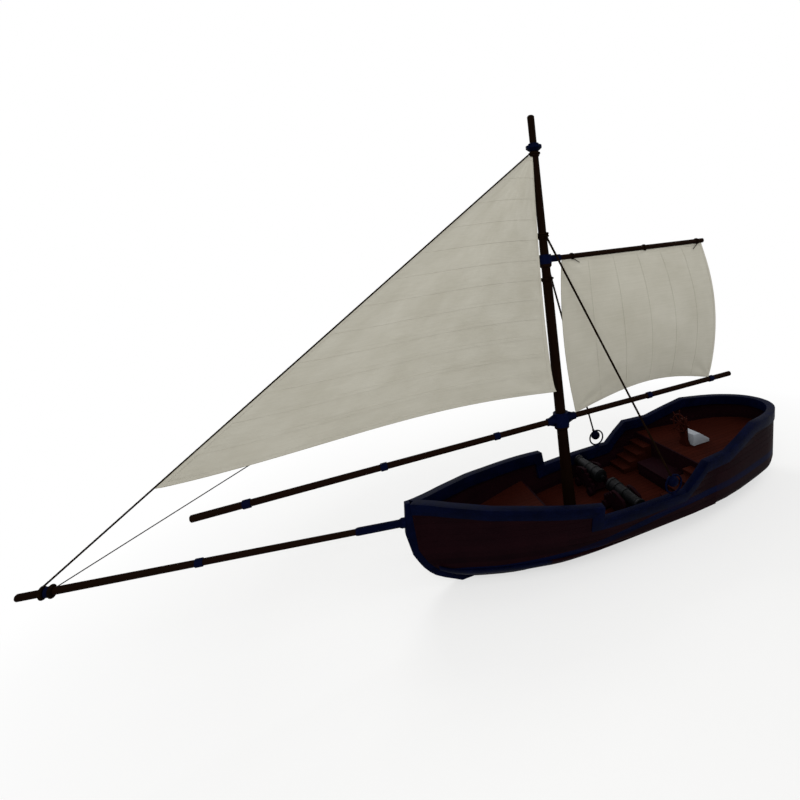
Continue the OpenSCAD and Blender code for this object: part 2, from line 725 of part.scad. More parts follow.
// The lead of the shroud in the plane of the ring; the heart is let into the top of the ring
shroud_lead = [shroud_run[0], 0, shroud_run[2]] / norm([shroud_run[0], shroud_run[2]]);
heart_let = 6;
heart_centre = ring_centre + shroud_lead * (heart_ring_d / 2 - heart_d / 2 - ring_bar / 2 + heart_let);
shroud_foot = ring_centre + shroud_lead * (heart_ring_d / 2 + ring_bar / 2 + shroud_knot / 2 + seat);

// A shroud with its eye at height z on the mast and its knot above the ring
module shroud_half(z) {
    color(rope_brown) {
        rope(shroud_foot, shroud_head(z), shroud_d);
        translate(shroud_foot) sphere(d = shroud_knot, $fn = 24);
        translate([0, 0, z]) eye(shroud_mast_r, eye_d);
    }
}

module shroud_port() { shroud_half(shroud_z); }
module shroud_starboard() { starboard() shroud_half(shroud_z + eye_d + seat); }

module heart_half() {
    color(navy) {
        translate(heart_centre) sphere(d = heart_d, $fn = 32);
        translate(ring_centre)
        rotate([90, 0, 0])
        rotate_extrude() translate([heart_ring_d / 2, 0]) circle(d = ring_bar, $fn = 16);
        translate([ring_centre[0], ring_centre[1], rail_top_waist]) cylinder(d1 = 110, d2 = 60, h = 44);
    }
}

module heart_port() { heart_half(); }
module heart_starboard() { starboard() heart_half(); }

// Sails: a sheet of cloth through points(u, v), sail_t thick across Y
sail_rows = 10;
sail_columns = 10;
module sail(points) {
    n = sail_columns;
    row = function(u)
        let (face = [for (k = [0:n]) points(u, k / n)])
        concat([for (p = face) p + [0, sail_t / 2, 0]], [for (k = [n:-1:0]) face[k] - [0, sail_t / 2, 0]]);
    color(sailcloth) loft([for (i = [0:sail_rows]) row(i / sail_rows)]);
}

function mix(a, b, t) = a + (b - a) * t;
function bulge(t) = 4 * t * (1 - t);

// The jib's luff lies along the underside of the forestay
stay_run = forestay_head - forestay_foot;
stay_under = [-stay_run[2], 0, stay_run[0]] / norm(stay_run) * (forestay_d / 2 + seat);
luff_from = 0.19;
luff_to = 0.987;
jib_tack = forestay_foot + stay_run * luff_from + stay_under;
jib_head = forestay_foot + stay_run * luff_to + stay_under;
jib_clew = [205, 330, 3570];
jib_top_w = 90;
jib_arch = 250;

function jib_point(u, v) =
    let (luff = mix(jib_tack, jib_head, u),
         leech = mix(jib_clew, jib_head - [jib_top_w, -60, 40], u),
         p = mix(luff, leech, v),
         arch = jib_arch * sin(180 * v ^ 1.4) * (1 - u) ^ 2)
    p + [0, jib_belly * bulge(v) * (1 - u) ^ 0.8 * (0.7 + u), arch];

module jib() { sail(function(u, v) jib_point(u, v)); }

main_luff = 370;
main_leech_head = 3979;
main_leech_foot = 4120;
main_roach = 330;
main_luff_round = 120;
main_arch = 330;
main_foot_z = boom_z + boom_d / 2 + seat;
main_head_z = gaff_z - gaff_d / 2 - seat;

function main_point(u, v) =
    let (luff = [-main_luff + main_luff_round * bulge(u), 0, mix(main_foot_z, main_head_z, u)],
         leech = [-mix(main_leech_foot, main_leech_head, u) - main_roach * bulge(u), 0,
                  mix(main_foot_z, main_head_z, u)])
    mix(luff, leech, v)
    + [0, main_belly * bulge(v) * bulge(mix(0.12, 1, u)), main_arch * sin(180 * v) * (1 - u) ^ 2];

module mainsail() { sail(function(u, v) main_point(u, v)); }

// Main rig: turns about the mast on two collars
socket_d = boom_d + 44;
socket_reach = 330;
collar_r = mast_boom_d / 2 + 52;

module boom_collar() {
    color(navy)
    translate([0, 0, boom_z])
    difference() {
        union() {
            cylinder(r = collar_r, h = collar_h, center = true);
            rotate([0, 90, 0]) cylinder(d = socket_d, h = 2 * socket_reach, center = true);
            for (s = [-1, 1])
                rotate([90, 0, 0]) linear_extrude(40, center = true)
                polygon([[s * collar_r * 0.9, -collar_h / 2 + 10], [s * socket_reach * 0.9, -socket_d / 2 + 8],
                         [s * socket_reach * 0.9, socket_d / 2 - 8], [s * collar_r * 0.9, collar_h / 2 - 10]]);
        }
        cylinder(d = mast_boom_d + 2 * running, h = collar_h + 2, center = true);
        for (s = [0, 180])
            rotate([0, 90, s]) translate([0, 0, collar_r]) cylinder(d = boom_d + 2 * seat, h = socket_reach);
    }
}

// Spar along X from x0 to x1
module spar_x(x0, x1, d, z) {
    translate([x0, 0, z])
    rotate([0, x1 > x0 ? 90 : -90, 0])
    rotate_extrude()
    polygon([[0, 0], [d / 2, 0], [d / 2, abs(x1 - x0) - 14], [d / 2 - 14, abs(x1 - x0)], [0, abs(x1 - x0)]]);
}

module fore_boom() { color(spar_brown) spar_x(collar_r + seat, boom_fore, boom_d, boom_z); }
module boom() { color(spar_brown) spar_x(-collar_r - seat, -boom_aft, boom_d, boom_z); }

band_w = 120;
band_xs = [5883, 3678, 1463, -2314, -4195];
module boom_bands() {
    color(navy)
    for (x = band_xs)
        translate([x - band_w / 2, 0, boom_z])
        rotate([0, 90, 0]) ring(boom_d / 2 + seat, boom_d / 2 + 16, band_w);
}

gaff_collar_r = mast_gaff_d / 2 + 40;
gaff_socket = 330;
module gaff_collar() {
    color(navy)
    translate([0, 0, gaff_z])
    difference() {
        union() {
            cylinder(r = gaff_collar_r, h = gaff_collar_h, center = true);
            rotate([0, -90, 0]) cylinder(d = gaff_d + 34, h = gaff_socket);
        }
        cylinder(d = mast_gaff_d + 2 * running, h = gaff_collar_h + 2, center = true);
        rotate([0, -90, 0]) translate([0, 0, gaff_collar_r]) cylinder(d = gaff_d + 2 * seat, h = gaff_socket);
    }
}

module gaff() { color(spar_brown) spar_x(-gaff_collar_r - seat, -gaff_aft, gaff_d, gaff_z); }

// Guns: drawn about the trunnion axis, muzzle to port, and sized to the beam that they stand across
gun_beam = 3030;
gun_size = hull_beam / gun_beam;
gun_z = main_deck_z + gun_axis_h * gun_size;
muzzle_gap = 60;
gun_y = inset(-gun_x, gun_z, gunwale_w - gunwale_proud)[1] - muzzle_gap - muzzle_reach * gun_size;
trunnion_r = 46;
breech_r = breech_d / 2;
barrel_back = 430;
knob_r = 52;
cheek_in = breech_r + clear + 7;
cheek_out = cheek_in + cheek_t;
truck_r = truck_d / 2;
truck_w = 72;
axle_r = 34;
axle_z = -gun_axis_h + truck_r + seat;
axle_ys = [230, -330];
bed_top = -300;
bed_t = 40;
bore_depth = 820;

module gun_frame() { translate([-gun_x, gun_y, gun_z]) scale(gun_size) children(); }

module barrel_half() {
    m = muzzle_reach;
    b = -barrel_back;
    color(iron)
    gun_frame()
    difference() {
        union() {
            rotate([-90, 0, 0])
            rotate_extrude()
            polygon([
                [0, b - 110], [knob_r * 0.7, b - 104], [knob_r, b - 74], [knob_r * 0.7, b - 44],
                [knob_r * 0.6, b - 34], [breech_r * 0.7, b - 20], [breech_r, b], [breech_r, b + 60],
                [breech_r - 14, b + 66], [breech_r - 18, b + 220], [breech_r - 8, b + 226], [breech_r - 8, b + 262],
                [breech_r - 22, b + 268], [breech_r - 32, 60], [breech_r - 22, 66], [breech_r - 22, 100],
                [breech_r - 36, 106], [breech_r - 54, m - 130], [breech_r - 44, m - 124],
                [breech_r - 44, m - 100], [breech_r - 52, m - 94], [breech_r - 34, m - 40], [breech_r - 28, m - 22],
                [breech_r - 32, m], [0, m]
            ]);
            rotate([0, 90, 0]) cylinder(r = trunnion_r, h = 2 * (cheek_out + 6), center = true);
        }
        translate([0, m + 1, 0]) rotate([90, 0, 0]) cylinder(d = bore_d, h = bore_depth + 1);
    }
}

module barrel_port() { barrel_half(); }
module barrel_starboard() { starboard() barrel_half(); }

// Stepped cheeks, bed, quoin and transom
module carriage_half() {
    foot = axle_z - 48;
    quoin_top = -breech_r - seat;
    color(maroon)
    gun_frame()
    difference() {
        union() {
            for (s = [-1, 1])
                translate([s * (cheek_in + cheek_out) / 2, 0, 0])
                rotate([90, 0, 90])
                linear_extrude(cheek_t, center = true)
                polygon([
                    [330, foot], [330, -60], [290, 10], [70, 80], [-90, 80], [-90, 0], [-200, 0], [-200, -80],
                    [-310, -80], [-310, -160], [-420, -160], [-420, foot], [-240, foot], [-180, foot + 70],
                    [90, foot + 70], [140, foot]
                ]);
            translate([-cheek_in - 1, -410, bed_top - bed_t]) cube([2 * cheek_in + 2, 560, bed_t]);
            translate([-cheek_in - 1, 200, bed_top - bed_t]) cube([2 * cheek_in + 2, 60, 110]);
            rotate([90, 0, 90])
            linear_extrude(150, center = true)
            polygon([[-410, bed_top - 1], [-180, bed_top - 1], [-180, quoin_top - 60], [-410, quoin_top]]);
        }
        rotate([0, 90, 0]) cylinder(r = trunnion_r + running, h = 3 * cheek_out, center = true);
        for (y = axle_ys)
            translate([0, y, axle_z]) rotate([0, 90, 0]) cylinder(r = axle_r + running, h = 3 * cheek_out, center = true);
    }
}

module carriage_port() { carriage_half(); }
module carriage_starboard() { starboard() carriage_half(); }

module trucks_half(y) {
    color(maroon)
    gun_frame()
    translate([0, y, axle_z])
    rotate([0, 90, 0]) {
        cylinder(r = axle_r, h = 2 * (cheek_out + clear + truck_w), center = true);
        for (s = [-1, 1])
            translate([0, 0, s * (cheek_out + clear + truck_w / 2)])
            rotate_extrude()
            polygon([[0, -truck_w / 2], [truck_r - 8, -truck_w / 2], [truck_r, -truck_w / 2 + 8],
                     [truck_r, truck_w / 2 - 8], [truck_r - 8, truck_w / 2], [0, truck_w / 2]]);
    }
}

module fore_trucks_port() { trucks_half(axle_ys[0]); }
module aft_trucks_port() { trucks_half(axle_ys[1]); }
module fore_trucks_starboard() { starboard() trucks_half(axle_ys[0]); }
module aft_trucks_starboard() { starboard() trucks_half(axle_ys[1]); }

// Rudder: a blade on a stock that is cut away round the irons
stock_r = 40;
stock_top = post_len - 8;
rudder_t = 70;
rudder_heel = 20;
rudder_shoulder = 600;
rudder_head = 720;

module rudder() {
    color(maroon)
    post_frame()
    translate([-hinge_off, 0, 0]) {
        difference() {
            union() {
                translate([0, 0, rudder_heel]) cylinder(r = stock_r, h = stock_top - rudder_heel);
                rotate([90, 0, 0]) linear_extrude(rudder_t, center = true)
                polygon([[0, rudder_heel], [-rudder_length + 60, rudder_heel + 20],
                         [-rudder_length, rudder_heel + 100], [-rudder_length, rudder_shoulder / 2],
                         [-rudder_length + 110, rudder_shoulder], [-rudder_length / 3, rudder_head - 20],
                         [0, rudder_head]]);
            }
            for (z = iron_zs)
                translate([-stock_r - 2 * clear, -2 * stock_r, z - clear])
                    cube([4 * stock_r, 4 * stock_r, iron_h + clear + seat]);
        }
        for (z = iron_zs)
            translate([0, 0, z - clear - 1]) cylinder(r = pin_r, h = iron_h + clear + seat + 2);
    }
}

// Steering wheel on a post, with the grey box of the steering gear behind it
wheel_z = quarterdeck_z + wheel_h;
wheel_spokes = 8;
wheel_rim_d = 40;
wheel_handle = 90;
wheel_hub_r = 62;
wheel_axle_r = 24;
post_front = wheel_x + 70;
post_w = 150;
post_depth = 110;

module wheel() {
    color(deck_brown)
    translate([-wheel_x, 0, wheel_z])
    rotate([0, -90, 0]) {
        rotate_extrude() translate([wheel_d / 2, 0]) circle(d = wheel_rim_d, $fn = 24);
        cylinder(r = wheel_hub_r, h = 60, center = true);
        cylinder(r = wheel_axle_r, h = post_front - wheel_x + post_depth + 30);
        for (k = [0:wheel_spokes - 1])
            rotate([0, 90, k * 360 / wheel_spokes])
            cylinder(d = 26, h = wheel_d / 2 + wheel_rim_d / 2 + wheel_handle);
    }
}

module wheel_post() {
    color(deck_brown)
    difference() {
        translate([-post_front - post_depth, 0, quarterdeck_z])
        rotate([90, 0, 90])
        linear_extrude(post_depth)
        polygon([[-post_w * 0.8, 0], [post_w * 0.8, 0], [post_w * 0.8, 60], [post_w / 2, 140],
                 [post_w * 0.4, wheel_h + 90], [-post_w * 0.4, wheel_h + 90], [-post_w / 2, 140], [-post_w * 0.8, 60]]);
        translate([-wheel_x, 0, wheel_z]) rotate([0, -90, 0])
            cylinder(r = wheel_axle_r + running, h = 2 * post_front);
    }
}

box_w = 420;
box_h = 290;
box_length = 500;
box_flat = 200;
box_back = 70;
box_front = post_front + post_depth + 40;
module steering_box() {
    color(grey)
    translate([-box_front, 0, quarterdeck_z])
    side_view(box_w)
    polygon([[0, 0], [0, box_h], [-box_flat, box_h], [-box_length, box_back], [-box_length, 0]]);
}

hull();
stem();
keel();
sternpost();
bulwark_port();
bulwark_starboard();
gunwale_port();
gunwale_starboard();
wale_port();
wale_starboard();
foredeck();
main_deck();
quarterdeck();
fore_bulkhead();
aft_bulkhead();
stairs_port();
stairs_starboard();
hatch_coaming();
hatch_lid();
mast();
mast_partner();
masthead_collar();
bowsprit();
bowsprit_sleeve();
stay_collar();
forestay();
inner_stay();
shroud_port();
shroud_starboard();
heart_port();
heart_starboard();
jib();
boom_collar();
fore_boom();
boom();
boom_bands();
gaff_collar();
gaff();
mainsail();
carriage_port();
carriage_starboard();
barrel_port();
barrel_starboard();
fore_trucks_port();
aft_trucks_port();
fore_trucks_starboard();
aft_trucks_starboard();
rudder();
wheel();
wheel_post();
steering_box();
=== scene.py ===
"""Looks of a gaff-rigged sloop: planked hull and decks, oiled spars, laid ropes and sewn sails."""
import json
import math

import bpy
from mathutils import Matrix, Vector

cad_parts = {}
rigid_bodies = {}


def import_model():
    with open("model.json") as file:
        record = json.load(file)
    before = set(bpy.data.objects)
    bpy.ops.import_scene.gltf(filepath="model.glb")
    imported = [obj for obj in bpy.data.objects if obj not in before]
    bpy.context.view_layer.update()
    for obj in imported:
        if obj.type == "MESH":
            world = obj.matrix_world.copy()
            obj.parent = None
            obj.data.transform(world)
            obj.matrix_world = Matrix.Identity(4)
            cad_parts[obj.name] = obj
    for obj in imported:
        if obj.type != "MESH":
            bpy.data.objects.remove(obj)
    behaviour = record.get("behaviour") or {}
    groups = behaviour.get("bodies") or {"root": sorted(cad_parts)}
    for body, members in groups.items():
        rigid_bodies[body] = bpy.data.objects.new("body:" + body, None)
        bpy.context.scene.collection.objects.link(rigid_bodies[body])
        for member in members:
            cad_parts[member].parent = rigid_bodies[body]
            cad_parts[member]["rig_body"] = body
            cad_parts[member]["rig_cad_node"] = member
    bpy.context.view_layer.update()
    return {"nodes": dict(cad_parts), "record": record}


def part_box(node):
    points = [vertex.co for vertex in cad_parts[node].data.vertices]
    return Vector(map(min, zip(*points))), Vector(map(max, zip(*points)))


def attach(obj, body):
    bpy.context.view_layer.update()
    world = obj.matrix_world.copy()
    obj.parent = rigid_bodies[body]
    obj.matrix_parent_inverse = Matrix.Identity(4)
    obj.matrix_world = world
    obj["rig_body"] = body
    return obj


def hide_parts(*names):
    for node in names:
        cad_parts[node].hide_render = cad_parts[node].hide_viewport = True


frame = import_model()
nodes = frame["nodes"]
body_of = {n: body for body, names in frame["record"]["behaviour"]["bodies"].items() for n in names}

# Lengths are in metres: X points forward from the mast, Y to port and Z up from the waterline
X, Y, Z = 0, 1, 2
UP = Vector((0, 0, 1))
MM = 0.001

# Planking: pitch of the boards, width and depth of the seams, how far the seams keep from an edge, and
# the upright part of a normal past which a face is level
PLANK = 0.140
PLANK_SEAM = 10 * MM
PLANK_SEAM_DEPTH = 5 * MM
DECK_BOARD = 0.125
DECK_SEAM = 9 * MM
BULKHEAD_BOARD = 0.15
BULKHEAD_SEAM = 8 * MM
BOARD_SEAM_DEPTH = 4 * MM
KEEL_MARGIN = 0.05
DECK_MARGIN = 0.10
RAIL_MARGIN = 0.03
LEVEL_NORMAL = 0.95

# Navy strake: the x at which it leaves the wale, its two ends as (x, height), and its width
STRAKE_LEAVES = 1.0
STRAKE_FORE = (1.9, 0.36)
STRAKE_AFT = (-2.3, 0.91)
STRAKE_WIDTH = 0.16

# Rounding of long edges, in millimetres, and how much fuller the rings of the shrouds are than their solids
GUNWALE_ROUND = 12
WALE_ROUND = 9
BACKBONE_ROUND = 9
RAIL_SEGMENTS = 3
RING_FULLER = 7 * MM

# Meshes: vertices closer than the first length are one, and those closer than the second lie on a cut
MERGED = 0.8 * MM
ON_CUT = 0.05 * MM

# Angles in degrees: within these, faces count as one flat face, and triangles are paired to quads
FLAT = 1.0
FLAT_LOFTED = 0.2
FLAT_ROUND = 0.01
QUAD_FACE = 30
QUAD_SHAPE = 170

# Angles in degrees: edges past the first are rounded, and edges past the others are shaded sharp
EASED_PAST = 32
BOARD_SHARP = 30
JOINERY_SHARP = 35
PLANK_SHARP = 40
ROUND_SHARP = 50
CLOTH_SHARP = 60

# Places that the rig hangs from, with heights from the main deck; SEAT is the play of an eye on its spar
DECK_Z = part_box("main_deck")[1].z
SEAT = 0.3 * MM
EYE_R = 0.022
MASTHEAD_R = 0.070
MASTHEAD = Vector((0.0, 0.0, DECK_Z + 7.488))
STAY_HEAD = MASTHEAD + Vector((MASTHEAD_R + SEAT + EYE_R, 0.0, 0.0))
STAY_FOOT = Vector((8.594, 0.0, DECK_Z + 1.792))
BOWSPRIT_R = 0.058
BOWSPRIT_ROOT = Vector((3.510, 0.0, DECK_Z + 1.005))
STEEVE = math.radians(7.9)
BOWSPRIT_WAY = Vector((math.cos(STEEVE), 0.0, math.sin(STEEVE)))
STAY_COLLAR_ROOM = 0.080
STAY_EYE_AT = 5.144
INNER_EYE_AT = STAY_EYE_AT - STAY_COLLAR_ROOM - EYE_R - SEAT
INNER_MAST_R = 0.092
INNER_EYE = Vector((0.0, 0.0, DECK_Z + 5.186))
SHROUD_MAST_R = 0.081
SHROUD_EYE_Z = DECK_Z + 5.998
SHROUD_FOOT = Vector((-1.6045, 1.446, DECK_Z + 1.0535))
SHROUD_LEAD_OUT = 0.016
BOOM_Z = DECK_Z + 2.223
BOOM_R = 0.061
GAFF_Z = DECK_Z + 5.561
GAFF_R = 0.050

# Ropes: LAY is one turn's length in diameters, STRAND_DIP the share of the radius left between two strands
FORESTAY_D = 0.030
INNER_STAY_D = 0.018
SHROUD_D = 0.044
SHROUD_KNOT_D = 0.066
LAY = 3.4
STRANDS = 3
STRAND_SIDES = 3
STRAND_DIP = 0.84
ROPE_STEPS = 8
YARN = 8 * MM
YARN_DIP = 2 * MM
EYE_SIDES = 10
KNOT_SEGMENTS = 18
KNOT_RINGS = 10
KNOT_TWIST = 90
KNOT_DIP = 4 * MM
LASHING_R = 8 * MM
LASHING_SIDES = 8
LASHING_TURNS = 3
LASHING_STEPS = 28
LASHING_KNOT_D = 5 * LASHING_R

# Sails: cloth, hems and the folds that run out of a corner
CLOTH_T = 5 * MM
BOLT_ROPE_R = 8 * MM
BOLT_ROPE_ROUND = 2
SAIL_ROWS = 72
HEM_ROWS = 1.5
FOLD_HEIGHT = 14 * MM
FOLDS = 9
FOLD_TWIST = 2
FOLD_FADE = 4.5
FOLD_START = 12

# Jib: its place along the forestay, its corners, and the depth and place of its curves
LUFF_FROM, LUFF_TO = 0.19, 0.994
LUFF_OFF = Vector((-0.0085, 0.0, -0.0127))
JIB_TACK = STAY_FOOT + (STAY_HEAD - STAY_FOOT) * LUFF_FROM
JIB_HEAD = STAY_FOOT + (STAY_HEAD - STAY_FOOT) * LUFF_TO
JIB_HEAD_WIDTH = Vector((-0.06, 0.06, -0.03))
JIB_CLEW = Vector((0.205, 0.330, DECK_Z + 2.963))
JIB_HOLLOW, JIB_HOLLOW_LOW = 0.10, 0.6
JIB_ARCH, JIB_ARCH_AFT = 0.25, 1.4
JIB_BELLY, JIB_BELLY_FADE, JIB_BELLY_FOOT = 0.42, 0.8, 0.7

# Mainsail: how far abaft the mast its edges stand, and the depth of its curves
MAIN_LUFF = 0.37
MAIN_LUFF_ROUND = 0.12
MAIN_LEECH_FOOT, MAIN_LEECH_HEAD = 4.12, 3.979
MAIN_ROACH = 0.33
MAIN_ARCH = 0.33
MAIN_BELLY, MAIN_BELLY_FOOT = 0.23, 0.12


# Colours: sRGB hex values turned to linear

def linear(code):
    """Linear colour of an sRGB hex value."""
    parts = [int(code[i:i + 2], 16) / 255 for i in (1, 3, 5)]
    return [c / 12.92 if c <= 0.04045 else ((c + 0.055) / 1.055) ** 2.4 for c in parts] + [1.0]


MAROON, MAROON_PALE = linear("#0b0306"), linear("#17070b")
PITCH, PITCH_PALE = linear("#080404"), linear("#110707")
NAVY, NAVY_PALE = linear("#020414"), linear("#060b25")
DECK, DECK_PALE = linear("#190704"), linear("#2b0e08")
CAULKING = linear("#060202")
SPAR, SPAR_PALE = linear("#0a0502"), linear("#160a05")
HEMP, HEMP_PALE = linear("#0b0603"), linear("#1a0f07")
FLAX, FLAX_PALE = linear("#a9a597"), linear("#bab7ab")
BOLT_ROPE, BOLT_ROPE_PALE = linear("#8f8a7a"), linear("#aba797")
IRON, IRON_PALE = linear("#080809"), linear("#151618")
GREY, GREY_PALE = linear("#83888f"), linear("#a0a4a9")
FLOOR = linear("#f4f4f2")
WHITE = linear("#ffffff")

# Materials: pattern sizes in millimetres; the fine ones are drawn coarser than life, so that they show
GRAIN_MM, GRAIN_LONGER = 14, 24
STAIN_MM = 455
STREAK_MM, STREAK_LONG_MM = 11.11, 200
PAINT_PATCH_MM = 333
FIBRE_MM = 3.85
TAR_PATCH_MM = 111
PIT_MM = 5.56
CASTING_PATCH_MM = 143
THREAD_MM = 16
SLUB_LONG_MM, SLUB_MM = 667, 25
WEATHER_MM = 1111

# Materials: specular level, shares of the patterns in the colour, and the edges that count as rubbed
SPECULAR = 0.008
GRAIN_SHARE = 0.55
BOARD_SPREAD = 0.30
SLUB_SHARE = 0.3
RUB_FROM, RUB_TO = 0.53, 0.62

# A wave texture turns 20 radians to the unit
WAVE_TURN = math.tau / 20


def per_metre(size_mm):
    """Pattern scale of a size in millimetres."""
    return 1 / (size_mm * MM)


def add(tree, kind, settings=None, **links):
    """Adds a node with its settings, and links its inputs, given as socket_name=output."""
    made = tree.nodes.new(kind)
    for key, value in (settings or {}).items():
        if isinstance(key, str) and hasattr(made, key):
            setattr(made, key, value)
        else:
            made.inputs[key].default_value = value
    for key, source in links.items():
        socket = int(key[1:]) if key[0] == "i" and key[1:].isdigit() else key.replace("_", " ")
        tree.links.new(source, made.inputs[socket])
    return made


def new_material(name, uv_map=None):
    """A dull material, with its tree, its shader and its place: a UV map or the Object coordinates."""
    made = bpy.data.materials.new(name)
    made.use_nodes = True
    tree = made.node_tree
    shader = tree.nodes["Principled BSDF"]
    shader.inputs["Specular IOR Level"].default_value = SPECULAR
    if uv_map:
        place = add(tree, "ShaderNodeUVMap", {"uv_map": uv_map}).outputs["UV"]
    else:
        place = add(tree, "ShaderNodeTexCoord").outputs["Object"]
    return made, tree, shader, place


def ramp(tree, source, dark, pale, low, high):
    """Colour that goes from dark to pale as the source goes from low to high."""
    made = add(tree, "ShaderNodeValToRGB", Fac=source)
    for stop, position, colour in zip(made.color_ramp.elements, (low, high), (dark, pale)):
        stop.position = position
        stop.color = colour
    return made.outputs["Color"]


def rubbed(tree, colour, bare, amount):
    """Colour with the bare stuff showing where the edges are rubbed."""
    edge = add(tree, "ShaderNodeNewGeometry").outputs["Pointiness"]
    worn = add(tree, "ShaderNodeMapRange", {"From Min": RUB_FROM, "From Max": RUB_TO, "To Max": amount},
               Value=edge)
    mixed = add(tree, "ShaderNodeMix", {"data_type": "RGBA", 7: bare}, i0=worn.outputs["Result"], i6=colour)
    return mixed.outputs[2]


def dress(tree, shader, colour, rough, relief, strength, depth_mm):
    """Gives a shader its colour, its roughness, as a value or (source, low, high), and its relief."""
    tree.links.new(colour, shader.inputs["Base Color"])
    if isinstance(rough, tuple):
        source, low, high = rough
        gloss = add(tree, "ShaderNodeMapRange", {"To Min": low, "To Max": high}, Value=source)
        tree.links.new(gloss.outputs["Result"], shader.inputs["Roughness"])
    else:
        shader.inputs["Roughness"].default_value = rough
    bump = add(tree, "ShaderNodeBump", {"Strength": strength, "Distance": depth_mm * MM}, Height=relief)
    tree.links.new(bump.outputs["Normal"], shader.inputs["Normal"])


def timber(name, dark, pale, along, board=None, seam=None, rough=0.5, strake=False):
    """Sawn and oiled timber: grain runs along one axis, and boards differ a little from each other.

    along is the grain's axis; board is (axis, pitch) of the boards, and seam the colour of their caulking;
    strake, on planked sides, adds the navy strake that sweeps up from the bow's wale to the quarter."""
    made, tree, shader, place = new_material(name)
    stretch = [per_metre(GRAIN_MM)] * 3
    stretch[along] /= GRAIN_LONGER
    grain_place = add(tree, "ShaderNodeMapping", {"Scale": stretch}, Vector=place).outputs["Vector"]
    grain = add(tree, "ShaderNodeTexNoise", {"Scale": 1.0, "Detail": 5.0, "Roughness": 0.6},
                Vector=grain_place).outputs["Fac"]
    patch = add(tree, "ShaderNodeTexNoise", {"Scale": per_metre(STAIN_MM), "Detail": 3.0},
                Vector=place).outputs["Fac"]
    stain = add(tree, "ShaderNodeMath", {"operation": "MULTIPLY", 1: 1 - GRAIN_SHARE}, i0=patch).outputs[0]
    tone = add(tree, "ShaderNodeMath", {"operation": "MULTIPLY_ADD", 1: GRAIN_SHARE},
               i0=grain, i2=stain).outputs[0]
    if board:
        axis, pitch = board
        parts = add(tree, "ShaderNodeSeparateXYZ", Vector=place)
        row = add(tree, "ShaderNodeMath", {"operation": "DIVIDE", 1: pitch},
                  i0=parts.outputs[axis]).outputs[0]
        number = add(tree, "ShaderNodeMath", {"operation": "FLOOR"}, i0=row).outputs[0]
        chance = add(tree, "ShaderNodeTexWhiteNoise", {"noise_dimensions": "1D"}, W=number).outputs["Value"]
        change = add(tree, "ShaderNodeMath",
                     {"operation": "MULTIPLY_ADD", 1: BOARD_SPREAD, 2: -BOARD_SPREAD / 2},
                     i0=chance).outputs[0]
        tone = add(tree, "ShaderNodeMath", {"operation": "ADD"}, i0=tone, i1=change).outputs[0]
    colour = ramp(tree, tone, dark, pale, 0.25, 0.75)
    if seam:
        part = add(tree, "ShaderNodeMath", {"operation": "FRACT"}, i0=row).outputs[0]
        off = add(tree, "ShaderNodeMath", {"operation": "PINGPONG", 1: 0.5}, i0=part).outputs[0]
        line = add(tree, "ShaderNodeMath", {"operation": "LESS_THAN", 1: DECK_SEAM / 2 / pitch}, i0=off)
        colour = add(tree, "ShaderNodeMix", {"data_type": "RGBA", 7: seam}, i0=line.outputs[0],
                     i6=colour).outputs[2]
    if strake:
        sweep = add(tree, "ShaderNodeMapRange", {
            "interpolation_type": "SMOOTHSTEP", "From Min": STRAKE_AFT[0], "From Max": STRAKE_FORE[0],
            "To Min": STRAKE_AFT[1], "To Max": STRAKE_FORE[1]}, Value=parts.outputs[X]).outputs["Result"]
        off = add(tree, "ShaderNodeMath", {"operation": "SUBTRACT"}, i0=parts.outputs[Z],
                  i1=sweep).outputs[0]
        away = add(tree, "ShaderNodeMath", {"operation": "ABSOLUTE"}, i0=off).outputs[0]
        band = add(tree, "ShaderNodeMath", {"operation": "LESS_THAN", 1: STRAKE_WIDTH / 2},
                   i0=away).outputs[0]
        paint = ramp(tree, tone, NAVY, NAVY_PALE, 0.25, 0.75)
        colour = add(tree, "ShaderNodeMix", {"data_type": "RGBA"}, i0=band, i6=colour, i7=paint).outputs[2]
    colour = rubbed(tree, colour, pale, amount=0.6)
    dress(tree, shader, colour, (grain, rough - 0.1, rough + 0.14), grain, strength=0.25, depth_mm=3)
    return made


def brushed_paint(name, dark, pale, along, rough=0.38):
    """Oil paint brushed on timber: faint streaks along the piece, thin where it is rubbed."""
    made, tree, shader, place = new_material(name)
    stretch = [per_metre(STREAK_MM)] * 3
    stretch[along] = per_metre(STREAK_LONG_MM)
    streak_place = add(tree, "ShaderNodeMapping", {"Scale": stretch}, Vector=place).outputs["Vector"]
    streak = add(tree, "ShaderNodeTexNoise", {"Scale": 1.0, "Detail": 4.0},
                 Vector=streak_place).outputs["Fac"]
    patch = add(tree, "ShaderNodeTexNoise",
                {"Scale": per_metre(PAINT_PATCH_MM), "Detail": 6.0, "Roughness": 0.65},
                Vector=place).outputs["Fac"]
    tone = add(tree, "ShaderNodeMath", {"operation": "MULTIPLY"}, i0=streak, i1=patch).outputs[0]
    colour = rubbed(tree, ramp(tree, tone, dark, pale, 0.18, 0.42), pale, amount=0.8)
    dress(tree, shader, colour, (patch, rough - 0.08, rough + 0.2), streak, strength=0.18, depth_mm=2)
    return made


def hemp_rope(name, dark, pale):
    """Laid hemp rope: dull, with short fibres that catch the light."""
    made, tree, shader, place = new_material(name)
    fibre = add(tree, "ShaderNodeTexNoise", {"Scale": per_metre(FIBRE_MM), "Detail": 4.0},
                Vector=place).outputs["Fac"]
    patch = add(tree, "ShaderNodeTexNoise", {"Scale": per_metre(TAR_PATCH_MM), "Detail": 3.0},
                Vector=place).outputs["Fac"]
    tone = add(tree, "ShaderNodeMath", {"operation": "MULTIPLY"}, i0=fibre, i1=patch).outputs[0]
    colour = ramp(tree, tone, dark, pale, 0.15, 0.45)
    dress(tree, shader, colour, 0.78, fibre, strength=0.4, depth_mm=2)
    return made


